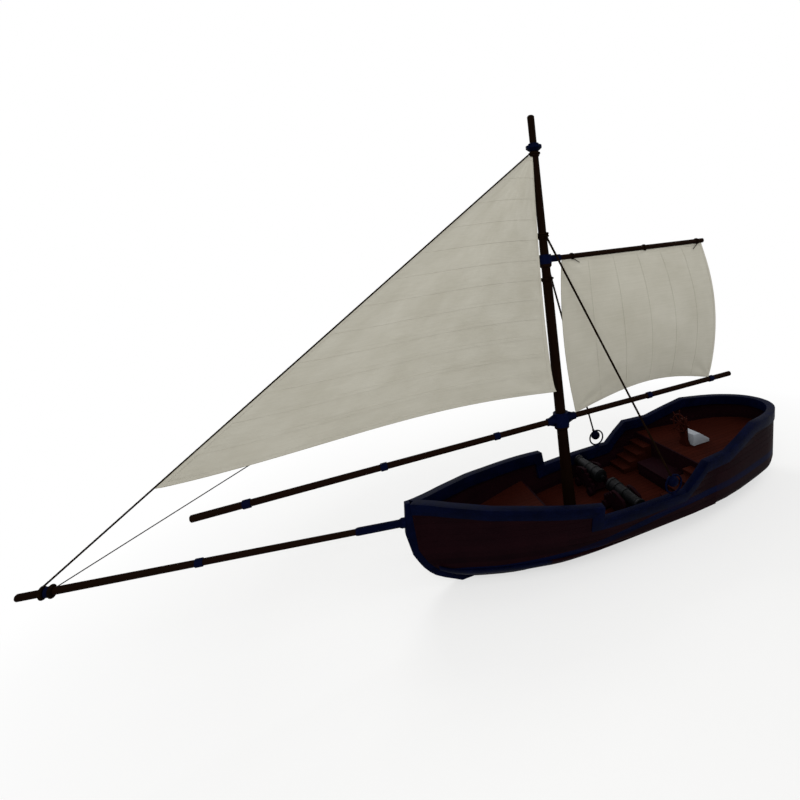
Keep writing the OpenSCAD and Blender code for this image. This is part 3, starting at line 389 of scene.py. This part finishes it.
def cast_iron(name, dark, pale):
    """Sand-cast iron, blackened: a fine pitted skin with a dull shine."""
    made, tree, shader, place = new_material(name)
    shader.inputs["Metallic"].default_value = 0.55
    pits = add(tree, "ShaderNodeTexNoise", {"Scale": per_metre(PIT_MM), "Detail": 6.0, "Roughness": 0.7},
               Vector=place).outputs["Fac"]
    patch = add(tree, "ShaderNodeTexNoise", {"Scale": per_metre(CASTING_PATCH_MM), "Detail": 4.0},
                Vector=place).outputs["Fac"]
    colour = ramp(tree, patch, dark, pale, 0.35, 0.75)
    dress(tree, shader, colour, (pits, 0.36, 0.66), pits, strength=0.3, depth_mm=1.5)
    return made


def flax_canvas(name, dark, pale):
    """Woven flax canvas: a plain weave of slubby thread with weathered patches, on the sail's UV map."""
    made, tree, shader, place = new_material(name, "cloth")
    shader.inputs["Sheen Weight"].default_value = 0.15
    weft, warp = [
        add(tree, "ShaderNodeTexWave",
            {"bands_direction": way, "Scale": per_metre(THREAD_MM) * WAVE_TURN, "Distortion": 0.6},
            Vector=place).outputs["Fac"] for way in ("X", "Y")]
    weave = add(tree, "ShaderNodeMath", {"operation": "MULTIPLY"}, i0=weft, i1=warp).outputs[0]
    patch = add(tree, "ShaderNodeTexNoise",
                {"Scale": per_metre(WEATHER_MM), "Detail": 6.0, "Roughness": 0.62},
                Vector=place).outputs["Fac"]
    stretch = (per_metre(SLUB_LONG_MM), per_metre(SLUB_MM), 1.0)
    slub_place = add(tree, "ShaderNodeMapping", {"Scale": stretch}, Vector=place).outputs["Vector"]
    slub = add(tree, "ShaderNodeTexNoise", {"Scale": 1.0, "Detail": 3.0}, Vector=slub_place).outputs["Fac"]
    weather = add(tree, "ShaderNodeMath", {"operation": "MULTIPLY", 1: 1 - SLUB_SHARE}, i0=patch).outputs[0]
    tone = add(tree, "ShaderNodeMath", {"operation": "MULTIPLY_ADD", 1: SLUB_SHARE},
               i0=slub, i2=weather).outputs[0]
    colour = ramp(tree, tone, dark, pale, 0.3, 0.7)
    dress(tree, shader, colour, 0.86, weave, strength=0.22, depth_mm=1.5)
    return made


painted_planks = timber("stained_oak_with_painted_strake", MAROON, MAROON_PALE, X, (Z, PLANK), rough=0.52,
                        strake=True)
hull_planks = timber("stained_oak_planking", MAROON, MAROON_PALE, X, (Z, PLANK), rough=0.52)
bottom_planks = timber("pitched_oak_bottom", PITCH, PITCH_PALE, X, (Z, PLANK), rough=0.6)
bulkhead_boards = timber("stained_oak_upright_boards", MAROON, MAROON_PALE, Z, (Y, BULKHEAD_BOARD),
                         rough=0.52)
fitting_oak = timber("stained_oak_fittings", MAROON, MAROON_PALE, X)
deck_boards = timber("stained_pine_deck", DECK, DECK_PALE, X, (Y, DECK_BOARD), CAULKING, rough=0.6)
deck_joinery = timber("stained_pine_joinery", DECK, DECK_PALE, Y)
spar_fore_aft = timber("oiled_pine_spar_lengthwise", SPAR, SPAR_PALE, X, rough=0.42)
spar_upright = timber("oiled_pine_spar_upright", SPAR, SPAR_PALE, Z, rough=0.42)
navy_long = brushed_paint("navy_oil_paint_lengthwise", NAVY, NAVY_PALE, X)
navy_upright = brushed_paint("navy_oil_paint_upright", NAVY, NAVY_PALE, Z)
grey_box = brushed_paint("grey_oil_paint", GREY, GREY_PALE, X, rough=0.45)
tarred_hemp = hemp_rope("tarred_hemp", HEMP, HEMP_PALE)
plain_hemp = hemp_rope("plain_hemp", BOLT_ROPE, BOLT_ROPE_PALE)
gun_iron = cast_iron("blackened_cast_iron", IRON, IRON_PALE)
canvas = flax_canvas("flax_canvas", FLAX, FLAX_PALE)


# Modelling by hand: selection, edit mode and modifiers

def only(piece):
    """Makes a piece the one selected and active object."""
    bpy.ops.object.select_all(action="DESELECT")
    piece.select_set(True)
    bpy.context.view_layer.objects.active = piece


def edit(piece, mode="VERT", everything=False):
    """Opens a piece in edit mode, with nothing or everything selected."""
    only(piece)
    bpy.ops.object.mode_set(mode="EDIT")
    bpy.ops.mesh.select_mode(type=mode)
    bpy.ops.mesh.select_all(action="SELECT" if everything else "DESELECT")


def choose(piece, kind, test):
    """Selects the vertices, edges or faces for which the test holds."""
    bpy.ops.object.mode_set(mode="OBJECT")
    mesh = piece.data
    for parts in (mesh.vertices, mesh.edges, mesh.polygons):
        for part in parts:
            part.select = False
    for part in getattr(mesh, kind):
        part.select = bool(test(part))
    bpy.ops.object.mode_set(mode="EDIT")


def close():
    """Leaves edit mode."""
    bpy.ops.object.mode_set(mode="OBJECT")


def settle(piece, material, body, replaced=None, sharp=JOINERY_SHARP):
    """Finishes a piece: its shading, its material, the body that carries it and the node it stands for."""
    only(piece)
    bpy.ops.object.transform_apply(location=True, rotation=True, scale=True)
    bpy.ops.object.shade_smooth_by_angle(angle=math.radians(sharp))
    piece.data.materials.clear()
    piece.data.materials.append(material)
    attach(piece, body)
    if replaced:
        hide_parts(replaced)
    return piece


def join(name, pieces):
    """Makes one named piece of several."""
    only(pieces[0])
    for other in pieces[1:]:
        other.select_set(True)
    bpy.ops.object.join()
    pieces[0].name = name
    return pieces[0]


def apply_modifier(piece, kind, **settings):
    """Puts a modifier on a piece and applies it."""
    only(piece)
    made = piece.modifiers.new(kind.lower(), kind)
    for key, value in settings.items():
        setattr(made, key, value)
    bpy.ops.object.modifier_apply(modifier=made.name)


def copy_of(node, flat=FLAT):
    """A merged copy of a node's mesh, with its flat faces joined, ready to be worked on."""
    only(nodes[node])
    bpy.ops.object.duplicate()
    piece = bpy.context.active_object
    piece.name = node + "_finished"
    bpy.ops.object.parent_clear(type="CLEAR_KEEP_TRANSFORM")
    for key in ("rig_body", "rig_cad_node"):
        del piece[key]
    bpy.ops.mesh.customdata_custom_splitnormals_clear()
    edit(piece, everything=True)
    bpy.ops.mesh.remove_doubles(threshold=MERGED)
    bpy.ops.mesh.dissolve_limited(angle_limit=math.radians(flat))
    close()
    return piece


def ease(piece, width_mm, segments=2):
    """Rounds the sharp edges of a piece."""
    apply_modifier(piece, "BEVEL", width=width_mm * MM, segments=segments, limit_method="ANGLE",
                   angle_limit=math.radians(EASED_PAST), use_clamp_overlap=True, harden_normals=False)


def cut_seams(piece, axis, places, width, depth):
    """Cuts a seam on each plane across the axis and opens it as a groove."""
    normal = [0, 0, 0]
    normal[axis] = 1
    edit(piece)
    for place in places:
        for cut in (place - width / 2, place, place + width / 2):
            point = [0, 0, 0]
            point[axis] = cut
            bpy.ops.mesh.select_all(action="SELECT")
            bpy.ops.mesh.bisect(plane_co=point, plane_no=normal)
    choose(piece, "vertices", lambda v: any(abs(v.co[axis] - place) < ON_CUT for place in places))
    bpy.ops.transform.shrink_fatten(value=-depth)
    close()


def turned(place, way):
    """Matrix that stands a piece at a place, with its Z axis along a way."""
    return Matrix.Translation(place) @ way.to_track_quat("Z", "Y").to_matrix().to_4x4()


# Planked hull

wale_heights = {}
for vertex in nodes["wale_port"].data.vertices:
    wale_heights.setdefault(round(vertex.co.x, 2), []).append(vertex.co.z)
wale_stations = sorted((x, sum(heights) / len(heights)) for x, heights in wale_heights.items())


def wale_z(x):
    """Height of the middle of the wale at x."""
    aft = ([s for s in wale_stations if s[0] <= x] or wale_stations[:1])[-1]
    fore = ([s for s in wale_stations if s[0] >= x] or wale_stations[-1:])[0]
    if fore[0] == aft[0]:
        return aft[1]
    return aft[1] + (fore[1] - aft[1]) * (x - aft[0]) / (fore[0] - aft[0])


def planked(node, low, high):
    """A side of the boat with its strakes cut apart by caulked seams."""
    piece = copy_of(node, FLAT_LOFTED)
    edit(piece, everything=True)
    bpy.ops.mesh.tris_convert_to_quads(face_threshold=math.radians(QUAD_FACE),
                                       shape_threshold=math.radians(QUAD_SHAPE))
    close()
    rows = range(math.ceil(low / PLANK), math.floor(high / PLANK) + 1)
    cut_seams(piece, Z, [row * PLANK for row in rows], PLANK_SEAM, PLANK_SEAM_DEPTH)
    return piece


def paint_faces(piece, material, test):
    """Gives one more material to a piece, on the faces for which the test holds."""
    piece.data.materials.append(material)
    for face in piece.data.polygons:
        if test(face):
            face.material_index = len(piece.data.materials) - 1


hull = planked("hull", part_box("hull")[0].z + KEEL_MARGIN, DECK_Z - DECK_MARGIN)
settle(hull, hull_planks, "hull", "hull", PLANK_SHARP)
paint_faces(hull, painted_planks, lambda face: abs(face.normal.z) < LEVEL_NORMAL)
paint_faces(hull, bottom_planks, lambda face: face.center.z < wale_z(face.center.x))

for side in ("port", "starboard"):
    node = "bulwark_" + side
    low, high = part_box(node)
    bulwark = planked(node, low.z + RAIL_MARGIN, high.z - RAIL_MARGIN)
    settle(bulwark, hull_planks, "hull", node, PLANK_SHARP)
    paint_faces(bulwark, painted_planks, lambda face: face.normal.y * face.center.y > 0)
    for node, width in (("gunwale_" + side, GUNWALE_ROUND), ("wale_" + side, WALE_ROUND)):
        piece = copy_of(node, FLAT_LOFTED)
        ease(piece, width, RAIL_SEGMENTS)
        settle(piece, navy_long, "hull", node, PLANK_SHARP)
    paint_faces(piece, hull_planks, lambda face: face.center.x < STRAKE_LEAVES)

for node in ("stem", "keel", "sternpost"):
    piece = copy_of(node)
    ease(piece, BACKBONE_ROUND)
    settle(piece, navy_long, "hull", node)


# Decks, bulkheads and fittings

def boarded(node, pitch, seam, material):
    """A deck or a bulkhead with the seams between its boards cut open."""
    piece = copy_of(node)
    count = int(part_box(node)[1].y / pitch)
    cut_seams(piece, Y, [row * pitch for row in range(-count, count + 1)], seam, BOARD_SEAM_DEPTH)
    settle(piece, material, "hull", node, BOARD_SHARP)


for node in ("foredeck", "main_deck", "quarterdeck"):
    boarded(node, DECK_BOARD, DECK_SEAM, deck_boards)
for node in ("fore_bulkhead", "aft_bulkhead"):
    boarded(node, BULKHEAD_BOARD, BULKHEAD_SEAM, bulkhead_boards)

# Fittings: the rounding of their edges in millimetres, and their material
EASED = {
    "stairs_port": (7, deck_joinery), "stairs_starboard": (7, deck_joinery),
    "hatch_coaming": (5, fitting_oak), "hatch_lid": (5, fitting_oak), "rudder": (8, bottom_planks),
    "carriage_port": (6, fitting_oak), "carriage_starboard": (6, fitting_oak),
    "wheel_post": (6, deck_joinery), "steering_box": (12, grey_box),
}
for node, (width, material) in EASED.items():
    piece = copy_of(node)
    ease(piece, width)
    settle(piece, material, body_of[node], node)

for node in ("heart_port", "heart_starboard"):
    piece = copy_of(node, FLAT_ROUND)
    edit(piece, everything=True)
    bpy.ops.transform.shrink_fatten(value=RING_FULLER)
    close()
    settle(piece, navy_upright, "hull", node, ROUND_SHARP)

# Nodes that keep their own mesh
FINISHES = {
    spar_upright: ["mast"],
    spar_fore_aft: ["bowsprit", "fore_boom", "boom", "gaff"],
    navy_upright: ["mast_partner", "masthead_collar", "boom_collar", "gaff_collar"],
    navy_long: ["bowsprit_sleeve", "stay_collar", "boom_bands"],
    gun_iron: ["barrel_port", "barrel_starboard"],
    fitting_oak: ["fore_trucks_port", "aft_trucks_port", "fore_trucks_starboard", "aft_trucks_starboard"],
    deck_joinery: ["wheel"],
}
for material, members in FINISHES.items():
    for node in members:
        nodes[node].data.materials.clear()
        nodes[node].data.materials.append(material)


# Standing rigging: three-strand rope with served eyes, and the lashings of the mainsail

def screwed(piece, pitch, turns, steps):
    """Draws an outline out along a screw about Z, and closes its ends."""
    apply_modifier(piece, "SCREW", axis="Z", angle=math.tau, screw_offset=pitch, iterations=turns,
                   steps=steps, render_steps=steps)
    edit(piece, everything=True)
    bpy.ops.mesh.fill_holes(sides=0)
    bpy.ops.mesh.normals_make_consistent(inside=False)
    close()


def laid_rope(start, end, diameter):
    """Three-strand rope: a circle with three lobes, drawn out along a screw."""
    run = end - start
    turns = math.ceil(run.length / (LAY * diameter))
    bpy.ops.object.select_all(action="DESELECT")
    bpy.ops.mesh.primitive_circle_add(vertices=STRANDS * STRAND_SIDES, radius=diameter / 2)
    piece = bpy.context.active_object
    edit(piece)
    choose(piece, "vertices", lambda v: v.index % STRAND_SIDES == 0)
    bpy.ops.transform.resize(value=(STRAND_DIP, STRAND_DIP, 1))
    close()
    screwed(piece, run.length / turns, turns, ROPE_STEPS)
    piece.matrix_world = turned(start, run)
    return piece


def served_eye(centre, way, spar_radius):
    """Eye of a stay round a spar, wound with spun yarn."""
    major = spar_radius + EYE_R
    windings = round(math.tau * major / YARN)
    bpy.ops.object.select_all(action="DESELECT")
    bpy.ops.mesh.primitive_torus_add(major_radius=major, minor_radius=EYE_R, major_segments=2 * windings,
                                     minor_segments=EYE_SIDES)
    piece = bpy.context.active_object
    edit(piece)
    choose(piece, "vertices", lambda v: (v.index // EYE_SIDES) % 2 == 0)
    bpy.ops.transform.shrink_fatten(value=-YARN_DIP)
    close()
    piece.matrix_world = turned(centre, way)
    return piece


def knot(centre, diameter):
    """Wall knot: a ball with its strands crowned over each other."""
    bpy.ops.object.select_all(action="DESELECT")
    bpy.ops.mesh.primitive_uv_sphere_add(segments=KNOT_SEGMENTS, ring_count=KNOT_RINGS, radius=diameter / 2)
    piece = bpy.context.active_object

    def between_strands(v):
        turn = math.atan2(v.co.y, v.co.x) / math.tau
        return round(KNOT_SEGMENTS * turn + KNOT_TWIST * v.co.z) % STRANDS == 0

    edit(piece)
    choose(piece, "vertices", between_strands)
    bpy.ops.transform.shrink_fatten(value=-KNOT_DIP)
    close()
    piece.matrix_world = Matrix.Translation(centre)
    return piece


forestay = join("forestay_rope", [
    laid_rope(STAY_FOOT, STAY_HEAD, FORESTAY_D),
    served_eye(MASTHEAD, UP, MASTHEAD_R + SEAT),
    served_eye(BOWSPRIT_ROOT + BOWSPRIT_WAY * STAY_EYE_AT, BOWSPRIT_WAY, BOWSPRIT_R)])
settle(forestay, tarred_hemp, "hull", "forestay", ROUND_SHARP)

inner_foot = BOWSPRIT_ROOT + BOWSPRIT_WAY * INNER_EYE_AT
inner_stay = join("inner_stay_rope", [
    laid_rope(inner_foot - Vector((0, BOWSPRIT_R + SEAT + EYE_R, 0)),
              INNER_EYE - Vector((0, INNER_MAST_R + SEAT + EYE_R, 0)), INNER_STAY_D),
    served_eye(INNER_EYE, UP, INNER_MAST_R + SEAT),
    served_eye(inner_foot, BOWSPRIT_WAY, BOWSPRIT_R)])
settle(inner_stay, tarred_hemp, "hull", "inner_stay", ROUND_SHARP)

# The starboard shroud's eye lies on top of the port one
for node, hand, lift in (("shroud_port", 1, 0), ("shroud_starboard", -1, 2 * EYE_R + SEAT)):
    foot = Vector((SHROUD_FOOT.x, hand * SHROUD_FOOT.y, SHROUD_FOOT.z))
    eye = Vector((0, 0, SHROUD_EYE_Z + lift))
    lead = Vector((0, hand * (SHROUD_MAST_R + SEAT + 2 * EYE_R + SHROUD_LEAD_OUT), 0))
    shroud = join(node + "_rope", [
        laid_rope(foot, eye + lead, SHROUD_D),
        served_eye(eye, UP, SHROUD_MAST_R + SEAT),
        knot(foot, SHROUD_KNOT_D)])
    settle(shroud, tarred_hemp, "hull", node, ROUND_SHARP)


def lashing(name, spar_x, tail):
    """Turns of small rope round the gaff, with a knot and at times a tail over the sail's face."""
    bpy.ops.object.select_all(action="DESELECT")
    bpy.ops.mesh.primitive_circle_add(vertices=LASHING_SIDES, radius=LASHING_R,
                                      rotation=(math.pi / 2, 0, 0))
    piece = bpy.context.active_object
    only(piece)
    bpy.ops.object.transform_apply(location=True, rotation=True, scale=True)
    edit(piece, everything=True)
    bpy.ops.transform.translate(value=(GAFF_R + LASHING_R, 0, 0))
    close()
    screwed(piece, 2 * LASHING_R, LASHING_TURNS, LASHING_STEPS)
    piece.matrix_world = Matrix.Translation((spar_x, 0, GAFF_Z)) @ Matrix.Rotation(math.pi / 2, 4, "Y")
    start = Vector((spar_x, GAFF_R / 2, GAFF_Z - GAFF_R))
    parts = [piece, knot(start, LASHING_KNOT_D)]
    if tail:
        parts.append(laid_rope(start, start + Vector(tail), 2 * LASHING_R))
    settle(join(name, parts), tarred_hemp, "main_rig", None, ROUND_SHARP)


# Place of each lashing along the gaff, and where its tail leads
LASHINGS = {
    "throat_lashing": (-0.62, (-0.12, 0.02, -0.09)),
    "head_lashing": (-2.40, None),
    "peak_lashing": (-3.86, (0.15, 0.02, -0.11)),
}
for name, (spar_x, tail) in LASHINGS.items():
    lashing(name, spar_x, tail)


# Sails: cloth sewn from panels, bellied by the wind

def bulge(t):
    """Curve that is 0 at both ends and 1 half way."""
    return 4 * t * (1 - t)


def mix(a, b, t):
    """Value that goes from a to b as t goes from 0 to 1."""
    return a + (b - a) * t


def jib_point(u, v):
    """Point of the jib: u from foot to head, v from luff to leech."""
    luff = mix(JIB_TACK, JIB_HEAD, u) + LUFF_OFF
    hollow = Vector((JIB_HOLLOW * bulge(u ** JIB_HOLLOW_LOW), 0, 0))
    leech = mix(JIB_CLEW, JIB_HEAD + LUFF_OFF + JIB_HEAD_WIDTH, u) + hollow
    arch = JIB_ARCH * math.sin(math.pi * v ** JIB_ARCH_AFT) * (1 - u) ** 2
    belly = JIB_BELLY * bulge(v) * (1 - u) ** JIB_BELLY_FADE * (JIB_BELLY_FOOT + u)
    return mix(luff, leech, v) + Vector((0, belly, arch))


def main_point(u, v):
    """Point of the mainsail: u from boom to gaff, v from luff to leech."""
    z = mix(BOOM_Z + BOOM_R, GAFF_Z - GAFF_R, u)
    luff = Vector((-MAIN_LUFF + MAIN_LUFF_ROUND * bulge(u), 0, z))
    leech = Vector((-mix(MAIN_LEECH_FOOT, MAIN_LEECH_HEAD, u) - MAIN_ROACH * bulge(u), 0, z))
    arch = MAIN_ARCH * math.sin(math.pi * v) * (1 - u) ** 2
    belly = MAIN_BELLY * bulge(v) * bulge(mix(MAIN_BELLY_FOOT, 1, u))
    return mix(luff, leech, v) + Vector((0, belly, arch))


def fold(u, v, corners):
    """Height of the small folds that run out of the corners that carry the sail."""
    total = 0
    for corner_u, corner_v in corners:
        du, dv = u - corner_u, v - corner_v
        away = math.hypot(du, dv)
        wave = math.sin(FOLDS * math.atan2(du, dv) + FOLD_TWIST * away)
        total += wave * math.exp(-FOLD_FADE * away) * min(1, away * FOLD_START)
    return FOLD_HEIGHT * total


def bolt_rope(piece, body):
    """Rope sewn round the edge of a sail."""
    edit(piece, "EDGE")
    bpy.ops.mesh.select_non_manifold()
    bpy.ops.mesh.duplicate()
    bpy.ops.mesh.separate(type="SELECTED")
    close()
    rope = [o for o in bpy.context.selected_objects if o is not piece][0]
    only(rope)
    rope.name = piece.name.replace("cloth", "bolt_rope")
    bpy.ops.object.convert(target="CURVE")
    rope.data.bevel_depth = BOLT_ROPE_R
    rope.data.bevel_resolution = BOLT_ROPE_ROUND
    bpy.ops.object.convert(target="MESH")
    settle(bpy.context.active_object, plain_hemp, body, None, CLOTH_SHARP)


def sew_laps(piece, share, panels, across):
    """Lays double cloth along each panel seam and round the edge, on both faces of a sail."""
    def lapped(face):
        u, v = [sum(share[k][i] for k in face.vertices) / len(face.vertices) for i in (0, 1)]
        seam = int((u if across else v) * SAIL_ROWS) % (SAIL_ROWS // panels) == 0
        hem = min(u, 1 - u, v, 1 - v) < HEM_ROWS / SAIL_ROWS
        return seam or hem

    edit(piece, "FACE")
    choose(piece, "polygons", lapped)
    for step in (CLOTH_T, -2 * CLOTH_T):
        bpy.ops.mesh.duplicate()
        bpy.ops.transform.translate(value=(0, step, 0))
    close()


def sail(node, point, body, panels, across, corners):
    """A sail as a grid of cloth with laps and a bolt rope.

    across tells that its panels run from luff to leech."""
    bpy.ops.mesh.primitive_grid_add(x_subdivisions=SAIL_ROWS, y_subdivisions=SAIL_ROWS, size=1)
    piece = bpy.context.active_object
    piece.name = node + "_cloth"
    uv = piece.data.uv_layers.active or piece.data.uv_layers.new()
    uv.name = "cloth"
    foot = (point(0, 1) - point(0, 0)).length
    luff = (point(1, 0) - point(0, 0)).length
    for corner in uv.data:
        corner.uv = (corner.uv[0] * foot, corner.uv[1] * luff)
    share = {}
    for vertex in piece.data.vertices:
        u, v = vertex.co.y + 0.5, vertex.co.x + 0.5
        share[vertex.index] = (u, v)
        vertex.co = point(u, v) + Vector((0, fold(u, v, corners), 0))
    bolt_rope(piece, body)
    sew_laps(piece, share, panels, across)
    apply_modifier(piece, "SOLIDIFY", thickness=CLOTH_T, offset=0)
    settle(piece, canvas, body, node, CLOTH_SHARP)


sail("jib", jib_point, "hull", panels=12, across=True, corners=[(0, 0), (0, 1)])
sail("mainsail", main_point, "main_rig", panels=6, across=False, corners=[(0, 0), (0, 1), (1, 0), (1, 1)])


# Floor at the waterline, soft light and the camera; a lamp is given as (place, watts), a lens in millimetres

FLOOR_R, FLOOR_SIDES = 60, 96
FLOOR_FADE_FROM, FLOOR_FADE_TO = 6.5, 12.0
FLOOR_GLOW = 0.62
SKY_LEVEL = 0.42
LAMP_SIZE = 9.0
LAMP_AIM = Vector((0, 0, 2.5))
LAMPS = (
    (Vector((9.0, 13.0, 15.0)), 1500),
    (Vector((-10.0, 6.0, 13.0)), 600),
    (Vector((1.0, -15.0, 13.0)), 1200),
)
CAMERA_PLACE = Vector((3.789, 7.786, DECK_Z + 5.574))
CAMERA_AHEAD = Vector((-0.352, -0.909, -0.222)).normalized()
CAMERA_LEAN = math.radians(6.85)
CAMERA_LENS, CAMERA_SENSOR = 19.30, 36.0
CAMERA_SHIFT = (-0.15, -0.05)


def pale_floor():
    """Pale floor that fades to white far from the boat."""
    bpy.ops.mesh.primitive_circle_add(vertices=FLOOR_SIDES, radius=FLOOR_R, fill_type="NGON",
                                      location=(0, 0, 0))
    floor = bpy.context.active_object
    floor.name = "floor"
    made, tree, shader, place = new_material("matt_pale_floor")
    shader.inputs["Base Color"].default_value = FLOOR
    shader.inputs["Roughness"].default_value = 0.9
    away = add(tree, "ShaderNodeVectorMath", {"operation": "LENGTH"}, i0=place).outputs["Value"]
    fade = add(tree, "ShaderNodeMapRange",
               {"From Min": FLOOR_FADE_FROM, "From Max": FLOOR_FADE_TO, "To Min": FLOOR_GLOW}, Value=away)
    path = add(tree, "ShaderNodeLightPath")
    seen = add(tree, "ShaderNodeMath", {"operation": "MAXIMUM"}, i0=path.outputs["Is Camera Ray"],
               i1=path.outputs["Is Glossy Ray"])
    share = add(tree, "ShaderNodeMath", {"operation": "MULTIPLY"}, i0=fade.outputs["Result"],
                i1=seen.outputs[0])
    white = add(tree, "ShaderNodeEmission", {"Color": WHITE, "Strength": 1.0})
    mixed = add(tree, "ShaderNodeMixShader", i0=share.outputs[0], i1=shader.outputs[0], i2=white.outputs[0])
    tree.links.new(mixed.outputs[0], tree.nodes["Material Output"].inputs["Surface"])
    floor.data.materials.append(made)


def soft_light():
    """White surroundings for the eye, a dimmer sky for the object, and three large lamps."""
    world = bpy.data.worlds.new("studio")
    bpy.context.scene.world = world
    world.use_nodes = True
    tree = world.node_tree
    path = add(tree, "ShaderNodeLightPath")
    seen = path.outputs["Is Camera Ray"]
    for ray in ("Is Transmission Ray", "Is Glossy Ray"):
        seen = add(tree, "ShaderNodeMath", {"operation": "MAXIMUM"}, i0=seen,
                   i1=path.outputs[ray]).outputs[0]
    level = add(tree, "ShaderNodeMapRange", {"To Min": SKY_LEVEL, "To Max": 1.0}, Value=seen)
    back = tree.nodes["Background"]
    back.inputs["Color"].default_value = WHITE
    tree.links.new(level.outputs["Result"], back.inputs["Strength"])
    for place, power in LAMPS:
        bpy.ops.object.light_add(type="AREA", location=place)
        lamp = bpy.context.active_object
        lamp.data.size = LAMP_SIZE
        lamp.data.energy = power
        lamp.rotation_euler = (LAMP_AIM - place).to_track_quat("-Z", "Y").to_euler()


def photo_camera():
    """Camera off the port bow, above the rail, held with a slight lean as in the picture."""
    bpy.ops.object.camera_add(location=CAMERA_PLACE)
    camera = bpy.context.active_object
    turn = CAMERA_AHEAD.to_track_quat("-Z", "Y").to_matrix() @ Matrix.Rotation(-CAMERA_LEAN, 3, "Z")
    camera.rotation_euler = turn.to_euler()
    camera.data.sensor_width = CAMERA_SENSOR
    camera.data.lens = CAMERA_LENS
    camera.data.shift_x, camera.data.shift_y = CAMERA_SHIFT
    bpy.context.scene.camera = camera


pale_floor()
soft_light()
photo_camera()
bpy.context.scene.view_settings.view_transform = "Standard"
